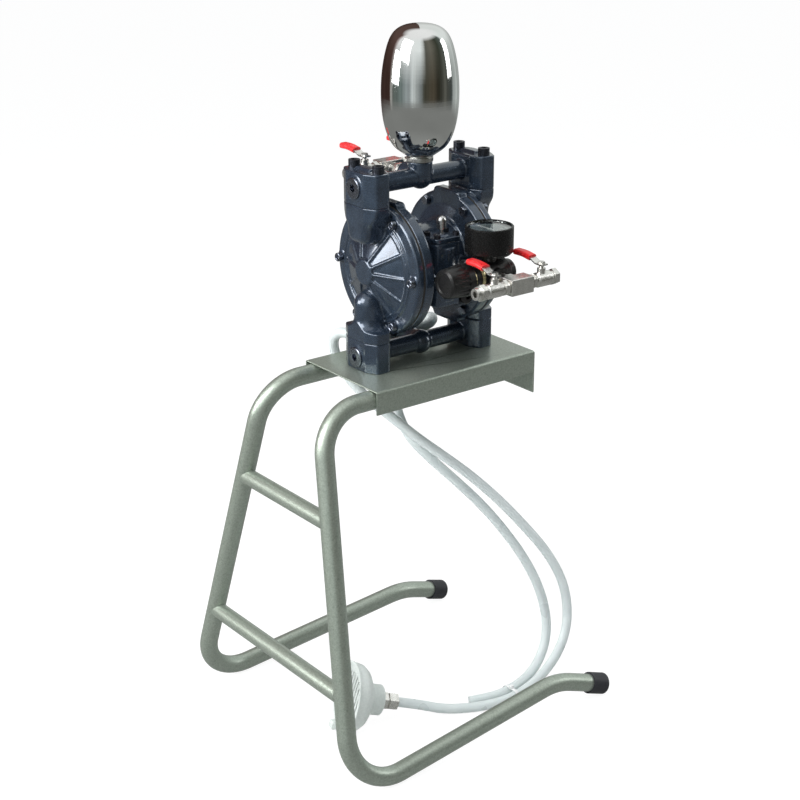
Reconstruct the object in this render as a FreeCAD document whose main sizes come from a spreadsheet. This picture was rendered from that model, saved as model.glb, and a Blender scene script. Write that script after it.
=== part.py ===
import FreeCAD, Part
import math
import os
import re
import Sketcher
from FreeCAD import Placement, Rotation, Vector

# Air-operated double diaphragm pump on a bent-tube stand.
# +X points from the rear bends of the stand to its rubber toes, +Z is up, the floor is Z = 0.
# The pump shaft lies along X. Near means the -X and -Y sides, far means the +X and +Y sides.

doc = FreeCAD.newDocument("DiaphragmPump")
sheet = doc.addObject("Spreadsheet::Sheet", "Sizes")

# Driving sizes in millimetres, angles in degrees
SIZES = {
    # stand
    "plate_x": 30.44, "plate_length": 226, "plate_width": 135, "plate_sheet": 2, "plate_top": 423,
    "side_flange": 27, "front_flange": 51.5, "plate_bend": 3,
    "tube_od": 21.3, "tube_wall": 2, "weld_gap": 0.1, "frame_tilt": 14.2, "arm_setback": 12,
    "top_bend_reach": 177, "top_bend_radius": 52, "rear_bend_reach": 218.4, "rear_bend_radius": 55.6,
    "kink_reach": 86.7, "kink_height": 36.6, "kink_radius": 90, "toe_reach": 155,
    "bar_od": 19, "upper_bar_height": 296, "lower_bar_height": 112.4,
    "cap_radius": 12.9, "cap_length": 24, "cap_end": 3, "cap_gap": 0.1,
    # pump castings
    "pump_dx": 2.4, "pump_dy": 6, "axis_rise": 110, "disc_radius": 73.5, "disc_back": 37,
    "air_face": 49, "rubber": 2, "cover_rim": 8.5, "core_radius": 42, "core_half": 30,
    "chamber_radius": 56, "chamber_floor": 36.5, "chamber_step": 7.5, "dome_depth": 20.3, "dome_wall": 3.2,
    "hub_radius": 15, "hub_rise": 28, "rib_width": 2.6, "rib_rise": 4,
    "cover_bolt_circle": 66, "cover_bolt_radius": 3, "bolt_gap": 0.1,
    "cover_head_radius": 5, "cover_head_height": 6, "cover_nut_height": 5,
    "column_reach": 73, "column_radius": 15, "upper_tip": 33.4, "lower_tip": 22, "shoulder_half": 28,
    "shoulder_rise": 65, "waist_half": 18.6, "waist_rise": 51, "tip_half": 16.6, "column_edge": 9,
    "foot_flange": 12, "foot_flare": 13, "passage_radius": 6, "outlet_floor": 44, "outlet_passage": 48,
    "inlet_passage": 40,
    "seam_rise": 76, "seam_flange": 11, "port_block_x": 31.6, "port_block_y": 61, "block_flat_y": 32,
    "block_flat_x": 17, "block_corner": 5, "upper_block_height": 37, "duct_rise": 95.5, "duct_radius": 10.5,
    "duct_bore": 7, "boss_radius": 13.8, "side_boss_radius": 12, "side_boss_reach": 27,
    "manifold_bolt_pitch": 43.2, "manifold_bolt_radius": 4, "manifold_head_radius": 6.5,
    "manifold_head_height": 8, "ear_width": 46, "ear_rise": 76,
    # valve balls and seats
    "ball_radius": 8, "chamber_bore": 9.5, "seat_bore": 6.8, "seat_radius": 11.8, "seat_height": 4,
    "seat_play": 0.05, "outlet_roof": 26, "inlet_roof": 46,
    # shaft assembly
    "shaft_radius": 8, "shaft_play": 0.05, "bush_radius": 11, "bush_length": 16, "clamp_radius": 28,
    "clamp_thickness": 5, "clamp_nose": 3, "clamp_stud": 4, "stud_length": 16,
    # port plugs
    "plug_ring_radius": 13.8, "plug_ring_height": 1.5, "plug_radius": 11.4, "plug_height": 2.4,
    "plug_shank": 8.6, "plug_shank_length": 9, "plug_hex": 8, "plug_hex_depth": 6,
    # air valve block
    "valve_du": -4.5, "valve_dv": -44, "valve_width": 35, "valve_depth": 28, "valve_low": 38,
    "valve_high": 33, "valve_pad": 30, "valve_corner": 6, "valve_cap_height": 6, "spool_radius": 7,
    "spool_play": 0.05, "spool_half": 23, "spool_room": 5, "pin_radius": 5.4, "pin_top": 61,
    "pin_skirt": 9, "pin_guide": 2.5, "valve_screw_radius": 2, "valve_screw_head": 3.6,
    "valve_screw_height": 4, "valve_screw_dx": 13, "valve_screw_dy": 9,
    "inlet_du": 22.8, "inlet_dw": 0.8, "inlet_boss_radius": 10.5, "inlet_boss_face": 47,
    "muffler_du": 22, "muffler_dw": -33, "muffler_radius": 8.5, "muffler_from": 36, "muffler_to": 59,
    # regulator and gauge
    "reg_dv": -92, "reg_radius": 17.5, "reg_left": 12, "reg_right": 44, "reg_port_radius": 11,
    "reg_port_half": 19, "reg_neck_radius": 11.5, "reg_neck_end": -8, "ring_radius": 13.2,
    "ring_width": 4.2, "ring_one": -7.4, "ring_two": 4.8, "ring_gap": 0.1,
    "knob_radius": 18, "knob_face_radius": 16, "knob_length": 32, "knob_bore_depth": 8, "knob_gap": 0.3,
    "reg_cap_radius": 13, "reg_cap_length": 9,
    "gauge_radius": 26.5, "gauge_low": 24, "gauge_high": 55, "gauge_wall": 2, "gauge_floor": 3,
    "dial_drop": 6, "dial_thickness": 0.8, "lens_thickness": 1.6, "lens_drop": 1.6,
    "needle_length": 19, "needle_tail": 6, "needle_width": 1.6, "needle_thickness": 0.5,
    "needle_hub": 2.2, "needle_lift": 0.6, "gauge_stem_radius": 5.5, "gauge_hex": 14,
    # ball valves and tees
    "tee_dv": -140, "tee_x": 31, "tee_y": 18, "tee_z": 18, "tee_edge": 1, "nipple_radius": 6.5,
    "nipple_bore": 4, "nipple_hex": 15, "valve_half": 15.5, "valve_body_radius": 8.2, "valve_bore": 3.5,
    "valve_ball_radius": 6.4, "valve_ball_gap": 0.15, "stem_radius": 2.4, "stem_gap": 0.08,
    "stem_boss_radius": 4.6, "stem_boss_top": 13, "stem_top": 19.5, "lever_height": 16,
    "lever_sheet": 1.6, "lever_width": 9, "lever_rise": 5.4, "lever_length": 40, "grip_from": 15,
    "grip_width": 11.5, "grip_height": 6.4, "joint_nut": 7, "hose_nut": 6, "stem_shift": 5,
    "valve_port": 5, "valve_port_depth": 9,
    "rear_tee_du": 0.6, "rear_tee_dv": 58,
    # surge tank
    "tank_radius": 42.4, "tank_height": 143, "tank_neck": 13.5, "tank_wall": 1.5, "collar_radius": 14.6,
    "collar_height": 5,
    # hoses and strainer
    "hose_od": 11.5, "hose_tee_dv": 38, "hose_tee_half": 20, "hose_tee_nut": 8, "hose_tee_core": 18,
    "tie_reach": 60, "tie_width": 4, "tie_wall": 1.1, "tie_gap": 0.35,
    "strainer_reach": 133, "strainer_dy": -31, "strainer_tilt": 17, "strainer_yaw": 20,
    "strainer_radius": 40, "strainer_wall": 2.4, "strainer_depth": 26, "strainer_lip": 1.5,
    "strainer_neck": 18, "strainer_collar": 16, "sieve_radius": 30, "sieve_slot": 3,
    "fitting_hex": 19, "fitting_length": 22,
}

for row, (alias, value) in enumerate(SIZES.items(), 1):
    sheet.set(f"A{row}", alias.replace("_", " "))
    sheet.set(f"B{row}", str(value))
    sheet.setAlias(f"B{row}", alias)
doc.recompute()

# Worked-out places, written once as expressions of the driving sizes
PLACES = {
    "@arm_z": "(plate_top - plate_sheet - weld_gap - tube_od / 2)",
    "@arm_y": "(plate_width / 2 - plate_sheet - weld_gap - tube_od / 2)",
    "@px": "(plate_x + pump_dx)",
    "@py": "(pump_dy)",
    "@pz": "(plate_top + axis_rise)",
    "@fluid_face": "(air_face + rubber)",
    "@column_face": "(column_reach + column_radius)",
    "@block_top": "(seam_rise + upper_block_height)",
    "@ball_sit": "(sqrt(ball_radius ^ 2 - seat_bore ^ 2) + seat_play)",
    "@reg_z": "(plate_top + axis_rise + inlet_dw)",
    "@reg_y": "(pump_dy + reg_dv)",
    "@reg_x": "(plate_x + pump_dx + inlet_du)",
    "@tee_y": "(pump_dy + tee_dv)",
    "@collar_z": "(plate_top + axis_rise + seam_rise + upper_block_height)",
}

TURN = {
    "Z": Rotation(),
    "-Z": Rotation(Vector(1, 0, 0), 180),
    "X": Rotation(Vector(0, 1, 0), 90),
    "-X": Rotation(Vector(0, 1, 0), -90),
    "Y": Rotation(Vector(1, 0, 0), -90),
    "-Y": Rotation(Vector(1, 0, 0), 90),
}


def cell(text):
    """Turn plain size names into a spreadsheet expression."""
    text = re.sub(r"@[a-z_]+", lambda found: PLACES[found[0]], str(text))
    return re.sub(r"[a-z][a-z_]*", lambda found: "Sizes." + found[0] if found[0] in SIZES else found[0], text)


def num(text):
    """Value of an expression of the sizes."""
    value = sheet.evalExpression(cell(text))
    return float(getattr(value, "Value", value))


def bind(thing, **texts):
    """Bind properties of an object to expressions."""
    for name, text in texts.items():
        thing.setExpression(name, cell(text))
    return thing


def put(thing, where, turn="Z"):
    """Place an object at three expressions, with its own Z axis along the named axis."""
    rotation = TURN[turn] if isinstance(turn, str) else turn
    thing.Placement = Placement(Vector(*[num(text) for text in where]), rotation)
    for name, text in zip("xyz", where):
        thing.setExpression("Placement.Base." + name, cell(text))
    return thing


def new(kind, name="piece"):
    return doc.addObject(kind, name)


def rod(where, radius, length, turn="Z"):
    return put(bind(new("Part::Cylinder", "rod"), Radius=radius, Height=length), where, turn)


def ball(where, radius):
    return put(bind(new("Part::Sphere", "ball"), Radius=radius), where)


def block(centre, size):
    """Box from the centre and size along X, Y and Z."""
    low = [f"({mid}) - ({span}) / 2" for mid, span in zip(centre, size)]
    return put(bind(new("Part::Box", "block"), Length=size[0], Width=size[1], Height=size[2]), low)


def prism(where, across_flats, length, turn="Z", sides=6):
    hexagon = bind(new("Part::Prism", "prism"), Circumradius=f"({across_flats}) / 2 / cos(180 deg / {sides})")
    hexagon.Polygon = sides
    return put(bind(hexagon, Height=length), where, turn)


def fuse(*pieces):
    joined = new("Part::MultiFuse", "joined")
    joined.Refine = False
    joined.Shapes = list(pieces)
    return joined


def cut(base, *tools):
    carved = new("Part::Cut", "carved")
    carved.Refine = False
    carved.Base = base
    carved.Tool = tools[0] if len(tools) == 1 else fuse(*tools)
    return carved


def outline(points, plane):
    """Closed sketch through expression points, each held by two dimensions."""
    sketch = new("Sketcher::SketchObject", "outline")
    sketch.Placement = Placement(Vector(), plane)
    spots = [Vector(num(across), num(up), 0) for across, up in points]
    count = len(spots)
    for index in range(count):
        sketch.addGeometry(Part.LineSegment(spots[index], spots[(index + 1) % count]), False)
    for index in range(count):
        sketch.addConstraint(Sketcher.Constraint("Coincident", index, 2, (index + 1) % count, 1))
    for index, point in enumerate(points):
        for kind, text in zip(("DistanceX", "DistanceY"), point):
            place = sketch.addConstraint(Sketcher.Constraint(kind, -1, 1, index, 1, num(text)))
            sketch.setExpression(f"Constraints[{place}]", cell(text))
    return sketch


def turned(points, where, turn="Z"):
    """Revolve a (radius, height) outline about its own Z axis."""
    revolved = new("Part::Revolution", "turned")
    revolved.Source = outline(points, Rotation(Vector(1, 0, 0), 90))
    revolved.Axis = (0, 0, 1)
    revolved.Angle = 360
    revolved.Solid = True
    return put(revolved, where, turn)


def extruded(points, where, height, turn="Z"):
    """Extrude a flat (x, y) outline up its own Z axis."""
    pushed = new("Part::Extrusion", "extruded")
    pushed.Base = outline(points, Rotation())
    pushed.Dir = (0, 0, 1)
    pushed.DirMode = "Custom"
    pushed.Solid = True
    return put(bind(pushed, LengthFwd=height), where, turn)


def rounded(base, radius, chosen):
    """Fillet the edges that the test picks."""
    doc.recompute()
    size = num(radius)
    smooth = new("Part::Fillet", "rounded")
    smooth.Base = base
    smooth.Edges = [(index, size, size) for index, edge in enumerate(base.Shape.Edges, 1) if chosen(edge)]
    return smooth


def upright(edge):
    """True for a straight edge along Z."""
    first, last = edge.Vertexes[0].Point, edge.Vertexes[-1].Point
    return abs(first.x - last.x) < 1e-6 and abs(first.y - last.y) < 1e-6 and abs(first.z - last.z) > 1e-6


def shaped(shape):
    """Document object that holds a shape made directly."""
    thing = new("Part::Feature", "shaped")
    thing.Shape = shape
    return thing


nodes = {}


def keep(thing, label):
    thing.Label = label
    nodes[label] = thing


def around(circle, angle):
    """Y and Z expressions of a point on a circle about the pump axis, 0 degrees at -Y."""
    return (f"@py - ({circle}) * cos({angle} deg)", f"@pz + ({circle}) * sin({angle} deg)")


SIDES = {"near": -1, "far": 1}


def side_x(side, reach):
    """X expression of a plane at a distance from the pump middle, on one side."""
    return f"@px + ({SIDES[side]}) * ({reach})"


def outward(side):
    return "X" if SIDES[side] > 0 else "-X"


# Stand tubes


def rounded_path(points, radii):
    """Wire of straight runs joined by tangent arcs, and the radius of each arc."""
    edges = []
    start = points[0]
    for corner, before, after, radius in zip(points[1:-1], points[:-2], points[2:], radii):
        back = (before - corner).normalize()
        ahead = (after - corner).normalize()
        half_turn = (math.pi - back.getAngle(ahead)) / 2
        trim = radius * math.tan(half_turn)
        enter = corner + back * trim
        leave = corner + ahead * trim
        centre = corner + (back + ahead).normalize() * (radius / math.cos(half_turn))
        middle = centre + (corner - centre).normalize() * radius
        edges.append(Part.LineSegment(start, enter).toShape())
        edges.append(Part.Arc(enter, middle, leave).toShape())
        start = leave
    edges.append(Part.LineSegment(start, points[-1]).toShape())
    return Part.Wire(edges)


def swept(wire, radius):
    first = wire.Edges[0]
    ring = Part.Wire(Part.makeCircle(radius, first.valueAt(first.FirstParameter),
                                     first.tangentAt(first.FirstParameter)))
    return wire.makePipeShell([ring], True, False)


def frame_spot(side_y, reach, drop):
    """Point of a tilted side frame, from its reach along X and its drop down the frame's plane."""
    tilt = math.radians(num("frame_tilt"))
    return Vector(num("plate_x") + reach, side_y * (num("@arm_y") + drop * math.sin(tilt)),
                  num("@arm_z") - drop * math.cos(tilt))


def drop_at(height):
    return (num("@arm_z") - height) / math.cos(math.radians(num("frame_tilt")))


def frame_corners():
    """Corners of a side frame as (reach, drop), with the rear bend's lowest point on the floor."""
    arm_start = num("plate_length / 2 - arm_setback")
    rear = -num("rear_bend_reach")
    kink = (num("kink_reach"), drop_at(num("kink_height")))
    floor_drop = drop_at(num("tube_od / 2"))
    rear_drop = floor_drop
    for _ in range(30):
        leg = Vector(-num("top_bend_reach") - rear, -rear_drop, 0).normalize()
        foot = Vector(kink[0] - rear, kink[1] - rear_drop, 0).normalize()
        half_turn = (math.pi - leg.getAngle(foot)) / 2
        middle = (leg + foot).normalize() * (num("rear_bend_radius") / math.cos(half_turn))
        rear_drop += floor_drop - (rear_drop + middle.y + num("rear_bend_radius"))
    toe_height = num("cap_radius")
    for _ in range(10):
        fall = num("kink_height") - toe_height
        run = math.hypot(num("toe_reach") - num("kink_reach"), fall / math.cos(math.radians(num("frame_tilt"))))
        lean = math.asin(fall / run)
        rim = num("cap_end * 0.6")
        toe_height = (num("cap_end") - rim) * math.sin(lean) + (num("cap_radius") - rim) * math.cos(lean) + rim
    toe = (num("toe_reach"), drop_at(toe_height))
    return [(arm_start, 0), (-num("top_bend_reach"), 0), (rear, rear_drop), kink, toe]


def leg_reach(drop):
    """Reach of the straight leg's centre line at a drop."""
    top, rear = frame_corners()[1:3]
    return top[0] + (rear[0] - top[0]) * drop / rear[1]


BENDS = ("top_bend_radius", "rear_bend_radius", "kink_radius")


def side_frame(label, side_y):
    path = rounded_path([frame_spot(side_y, *corner) for corner in frame_corners()], [num(name) for name in BENDS])
    tube = swept(path, num("tube_od / 2")).cut(swept(path, num("tube_od / 2 - tube_wall")))
    keep(shaped(tube), label)


side_frame("near_side_frame", -1)
side_frame("far_side_frame", 1)


def crossbar(height):
    """Straight bar between the legs, its ends coped to the tubes."""
    drop = drop_at(num(height))
    ends = [frame_spot(side_y, leg_reach(drop), drop) for side_y in (-1, 1)]
    span = ends[1] - ends[0]
    bar = Part.makeCylinder(num("bar_od / 2"), span.Length, ends[0], span)
    bar = bar.cut(Part.makeCylinder(num("bar_od / 2 - tube_wall"), span.Length, ends[0], span))
    for side_y in (-1, 1):
        low, high = (frame_spot(side_y, leg_reach(drop + step), drop + step) for step in (60, -60))
        leg = Part.makeCylinder(num("tube_od / 2 + weld_gap"), (high - low).Length, low, high - low)
        bar = bar.cut(leg)
    middle = (ends[0] + ends[1]) * 0.5
    return min(bar.Solids, key=lambda solid: solid.CenterOfMass.distanceToPoint(middle))


keep(shaped(Part.makeCompound([crossbar("upper_bar_height"), crossbar("lower_bar_height")])), "leg_crossbars")


def foot_cap(side_y):
    """Rubber cap over the end of a foot tube."""
    kink, toe = frame_corners()[3:]
    tip = frame_spot(side_y, *toe)
    along = (tip - frame_spot(side_y, *kink)).normalize()
    start = tip - along * num("cap_length - cap_end")
    body = Part.makeCylinder(num("cap_radius"), num("cap_length"), start, along)
    rim = [edge for edge in body.Edges if isinstance(edge.Curve, Part.Circle)
           and edge.Curve.Center.distanceToPoint(start) > 1]
    body = body.makeFillet(num("cap_end * 0.6"), rim)
    hole = Part.makeCylinder(num("tube_od / 2 + cap_gap"), num("cap_length - cap_end"), start, along)
    return body.cut(hole)


keep(shaped(Part.makeCompound([foot_cap(-1), foot_cap(1)])), "foot_caps")

# Mounting plate: a folded sheet with two side flanges and a deeper front flange

MOUNT_SPOTS = [(side, sign) for side in SIDES for sign in (-1, 1)]


def mount_spot(side, sign):
    return side_x(side, "column_reach"), f"@py + ({sign}) * manifold_bolt_pitch / 2"


skin = block(("plate_x", "0", "plate_top - front_flange / 2"), ("plate_length", "plate_width", "front_flange"))
skin = rounded(skin, "plate_bend", lambda edge: edge.BoundBox.ZMin > num("plate_top") - 0.01
               and edge.BoundBox.XMax > num("plate_x - plate_length / 2") + 0.01)
hollow = block(("plate_x - plate_sheet", "0", "plate_top - front_flange / 2 - plate_sheet"),
               ("plate_length", "plate_width - 2 * plate_sheet", "front_flange"))
under_sides = block(("plate_x - plate_sheet", "0", "plate_top - side_flange - front_flange / 2"),
                    ("plate_length", "plate_width * 2", "front_flange"))
holes = [rod((*mount_spot(*spot), "plate_top - plate_sheet * 2"), "manifold_bolt_radius + bolt_gap",
             "plate_sheet * 3") for spot in MOUNT_SPOTS]
keep(cut(skin, hollow, under_sides, *holes), "mounting_plate")

# Centre of the pump: an air chamber disc on each side of the core, all three bored for the shaft

chamber_profile = [
    ("0", "core_half"), ("core_radius", "core_half"), ("core_radius + 3", "core_half + 4"),
    ("cover_bolt_circle - 8", "disc_back"), ("disc_radius", "disc_back"), ("disc_radius", "air_face"), ("0", "air_face"),
]
castings = [turned(chamber_profile, ("@px", "@py", "@pz"), outward(side)) for side in SIDES]
ears = []
for side in SIDES:
    for sign in (-1, 1):
        ears.append(rounded(block((side_x(side, "(disc_back + air_face) / 2"), "@py", f"@pz + ({sign}) * ear_rise * 0.78"),
                                  ("air_face - disc_back", "ear_width", "ear_rise * 0.44")), "valve_corner",
                            lambda edge: abs(edge.Vertexes[0].Point.x - edge.Vertexes[-1].Point.x) > 1
                            and abs(edge.CenterOfMass.z - num("@pz")) > num("ear_rise * 0.78")))
bolt_holes = []
for side in SIDES:
    for angle in range(0, 360, 60):
        spot = (side_x(side, "disc_back - 1"), *around("cover_bolt_circle", angle))
        bolt_holes.append(rod(spot, "cover_bolt_radius + bolt_gap", "air_face", outward(side)))
hollows = [turned([("0", "chamber_floor"), ("chamber_radius * 0.6", "chamber_floor"),
                   ("chamber_radius", "chamber_floor + chamber_step"), ("chamber_radius", "air_face + 1"),
                   ("0", "air_face + 1")], ("@px", "@py", "@pz"), outward(side)) for side in SIDES]
bush_bore = rod((side_x("near", "air_face"), "@py", "@pz"), "bush_radius", "air_face * 2", "X")
keep(cut(fuse(*castings, *ears), bush_bore, *hollows, *bolt_holes), "air_chambers")

core = rod((side_x("near", "core_half"), "@py", "@pz"), "core_radius", "core_half * 2", "X")
inlet_boss = rod(("@reg_x", "@py - core_radius / 2", "@reg_z"), "inlet_boss_radius",
                 "inlet_boss_face - core_radius / 2", "-Y")
muffler_boss = rod((f"@px + muffler_du", "@py", "@pz + muffler_dw"), "muffler_radius + 2", "muffler_from", "-Y")
valve_recess = block(("@px + valve_du", "@py - valve_pad - core_radius", "@pz"),
                     ("valve_width + 1", "core_radius * 2", "core_radius * 2.2"))
inlet_bore = rod(("@reg_x", "@py - inlet_boss_face - 1", "@reg_z"), "nipple_bore", "inlet_boss_face * 0.4", "Y")
keep(cut(fuse(core, inlet_boss, muffler_boss), valve_recess, inlet_bore, bush_bore, *castings), "center_body")

# Fluid covers: dished rim, ribbed dome and the two valve columns


def cover_ribs(side):
    """Radial ribs over the dome, left out where the columns stand."""
    slope = num("(dome_depth + dome_wall - cover_rim - 1.8) / (chamber_radius - hub_radius - 5.5)")
    inner, outer = num("hub_radius - 1"), num("chamber_radius - 3")
    low = num("dome_depth + dome_wall") - num("dome_wall") * 0.8
    top = num("dome_depth + dome_wall + rib_rise")
    corners = [(inner, low), (outer, low - slope * (outer - inner)), (outer, num("cover_rim + 3")), (inner, top)]
    width = num("rib_width")
    ribs = []
    for angle in range(0, 360, 30):
        if angle in (0, 180):
            continue
        wire = Part.makePolygon([Vector(radius, -width / 2, height) for radius, height in corners + corners[:1]])
        rib = Part.Face(wire).extrude(Vector(0, width, 0))
        rib.rotate(Vector(), Vector(0, 0, 1), angle)
        ribs.append(rib)
    thing = shaped(Part.makeCompound(ribs))
    return put(thing, (side_x(side, "@fluid_face"), "@py", "@pz"), outward(side))


def port_block(side, z, height):
    long_x, long_y = "port_block_x / 2", "port_block_y / 2"
    flat_x, flat_y = "block_flat_x / 2", "block_flat_y / 2"
    corners = [(f"-{long_x}", f"-{flat_y}"), (f"-{flat_x}", f"-{long_y}"), (flat_x, f"-{long_y}"),
               (long_x, f"-{flat_y}"), (long_x, flat_y), (flat_x, long_y), (f"-{flat_x}", long_y), (f"-{long_x}", flat_y)]
    return rounded(extruded(corners, (side_x(side, "column_reach"), "@py", z), height), "block_corner", upright)


def upper_column(side):
    """Outlet column: flat front that widens from a rounded tip to the eight-sided plan at the seam."""
    half = [("port_block_y / 2", "seam_rise"), ("shoulder_half", "shoulder_rise"), ("waist_half", "waist_rise"),
            ("tip_half", "upper_tip")]
    right = [Vector(0, num(across), num(up)) for across, up in half]
    left = [Vector(0, -spot.y, spot.z) for spot in right]
    path = rounded_path(left + right[::-1], [14, 16, 11, 11, 16, 14])
    wire = Part.Wire(path.Edges + [Part.LineSegment(right[0], left[0]).toShape()])
    depth = num("port_block_x")
    solid = Part.Face(wire).extrude(Vector(SIDES[side] * depth, 0, 0))
    front = [edge for edge in solid.Edges if abs(edge.BoundBox.XMin - SIDES[side] * depth) < 0.01
             and edge.BoundBox.XLength < 0.01 and edge.CenterOfMass.z < num("seam_rise") - 0.01]
    solid = solid.makeFillet(num("column_edge"), front)
    lobe = put(shaped(solid), (side_x(side, "column_reach - port_block_x / 2"), "@py", "@pz"))
    plan = port_block(side, "@pz + upper_tip - 1", "seam_rise - upper_tip + 1")
    trimmed = new("Part::MultiCommon", "trimmed")
    trimmed.Shapes = [lobe, plan]
    return [trimmed]


def lower_column(side):
    """Inlet column: round post with a ball end, flared into an eight-sided flange at the seam."""
    x = side_x(side, "column_reach")
    back = side_x(side, "column_reach - port_block_x / 2")
    post = rod((x, "@py", "@pz - seam_rise"), "column_radius", "seam_rise - lower_tip - column_radius")
    tip = ball((x, "@py", "@pz - lower_tip - column_radius"), "column_radius")
    crest = rod((back, "@py", "@pz - lower_tip - column_radius"), "column_radius", "port_block_x / 2", outward(side))
    web = block((side_x(side, "column_reach - port_block_x / 4"), "@py", "@pz - (lower_tip + column_radius + seam_rise) / 2"),
                ("port_block_x / 2", "column_radius * 2", "seam_rise - lower_tip - column_radius"))
    flange = port_block(side, "@pz - seam_rise", "foot_flange")
    radius, flare = num("column_radius"), num("foot_flare")
    turn = flare * math.sqrt(0.5)
    low, high = Vector(radius + flare, 0, 0), Vector(radius, 0, flare)
    arc = Part.Arc(low, Vector(radius + flare - turn, 0, flare - turn), high)
    wire = Part.Wire([arc.toShape(), Part.LineSegment(high, Vector(0, 0, flare)).toShape(),
                      Part.LineSegment(Vector(0, 0, flare), Vector()).toShape(), Part.LineSegment(Vector(), low).toShape()])
    skirt = put(shaped(Part.Face(wire).revolve(Vector(), Vector(0, 0, 1), 360)),
                (x, "@py", "@pz - seam_rise + foot_flange"))
    plan = port_block(side, "@pz - seam_rise + foot_flange / 2", "foot_flange + foot_flare")
    trimmed = new("Part::MultiCommon", "trimmed")
    trimmed.Shapes = [skirt, plan]
    return [post, tip, crest, web, flange, trimmed]


def fluid_cover(side):
    cavity_edge = "chamber_radius - 2"
    rim = [
        ("chamber_radius", "0"), ("disc_radius", "0"), ("disc_radius", "cover_rim - 2"), ("disc_radius - 2", "cover_rim"),
        ("chamber_radius + 4", "cover_rim"), ("chamber_radius + 3", "cover_rim + 2.6"),
        ("chamber_radius + 1.5", "cover_rim + 2.6"), ("chamber_radius + 0.8", "cover_rim + 0.8"),
        ("chamber_radius - 0.8", "cover_rim + 0.8"), ("chamber_radius - 1.6", "cover_rim + 3"),
        ("chamber_radius - 3.2", "cover_rim + 3"), ("chamber_radius - 4", "cover_rim + 1.8"),
        ("hub_radius + 1.5", "dome_depth + dome_wall"), ("hub_radius", "dome_depth + dome_wall"),
        ("hub_radius", "hub_rise - 1.4"), ("hub_radius - 1.4", "hub_rise"), ("0", "hub_rise"),
        ("0", "dome_depth"), ("hub_radius + 1.5", "dome_depth"), (cavity_edge, "chamber_step"),
    ]
    spot = (side_x(side, "@fluid_face"), "@py", "@pz")
    shell = turned(rim, spot, outward(side))
    lobes = upper_column(side) + lower_column(side)
    bosses = []
    holes = []
    for angle in range(0, 360, 60):
        y, z = around("cover_bolt_circle", angle)
        bosses.append(rod((side_x(side, "@fluid_face"), y, z), "cover_head_radius + 2", "cover_rim + 1", outward(side)))
        holes.append(rod((side_x(side, "@fluid_face - 1"), y, z), "cover_bolt_radius + bolt_gap", "cover_rim + 4",
                         outward(side)))
    cavity = turned([("0", "-1"), ("chamber_radius", "-1"), ("chamber_radius", "0"), (cavity_edge, "chamber_step"),
                     ("hub_radius + 1.5", "dome_depth"), ("0", "dome_depth")], spot, outward(side))
    x = side_x(side, "column_reach")
    outlet = rod((x, "@py", "@pz + outlet_floor"), "chamber_bore", "seam_rise - outlet_floor + 1")
    inlet = rod((x, "@py", "@pz - seam_rise - 1"), "chamber_bore", "inlet_roof + 1")
    passages = [rod((side_x(side, "@fluid_face + passage_radius"), "@py", spot), "passage_radius",
                    "column_reach - @fluid_face - passage_radius", outward(side))
                for spot in ("@pz + outlet_passage", "@pz - inlet_passage")]
    seat_pocket = rod((x, "@py", "@pz + seam_rise - seat_height"), "seat_radius", "seat_height + 1")
    taps = []
    for sign in (-1, 1):
        y = f"@py + ({sign}) * manifold_bolt_pitch / 2"
        taps.append(rod((x, y, "@pz + seam_rise - seam_flange - 1"), "manifold_bolt_radius + bolt_gap", "seam_flange + 2"))
        taps.append(rod((x, y, "@pz - seam_rise - 1"), "manifold_bolt_radius + bolt_gap", "seam_flange + 1.2"))
    solid = fuse(shell, cover_ribs(side), *lobes, *bosses)
    keep(cut(solid, cavity, outlet, inlet, seat_pocket, *passages, *holes, *taps), f"{side}_fluid_cover")


for side in SIDES:
    fluid_cover(side)


def cover_bolt(side, angle):
    """Socket screw and nut that clamp cover, diaphragm and disc."""
    y, z = around("cover_bolt_circle", angle)
    head_face = "@fluid_face + cover_rim + 1"
    head = rod((side_x(side, head_face), y, z), "cover_head_radius", "cover_head_height", outward(side))
    head = cut(head, prism((side_x(side, f"{head_face} + cover_head_height / 2"), y, z), "cover_head_radius",
                           "cover_head_height", outward(side)))
    shank = rod((side_x(side, "disc_back - cover_nut_height"), y, z), "cover_bolt_radius",
                "@fluid_face + cover_rim + 1 - disc_back + cover_nut_height + 0.1", outward(side))
    nut = prism((side_x(side, "disc_back - cover_nut_height"), y, z), "cover_head_radius * 2", "cover_nut_height",
                outward(side))
    return fuse(head, shank, nut)


def gathered(pieces, label):
    """Keep several separate solids as one node."""
    group = new("Part::Compound", "group")
    group.Links = pieces
    keep(group, label)


gathered([cover_bolt(side, angle) for side in SIDES for angle in range(0, 360, 60)], "cover_bolts")

# Manifolds: port blocks joined by a duct, with a boss in the middle


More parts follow.
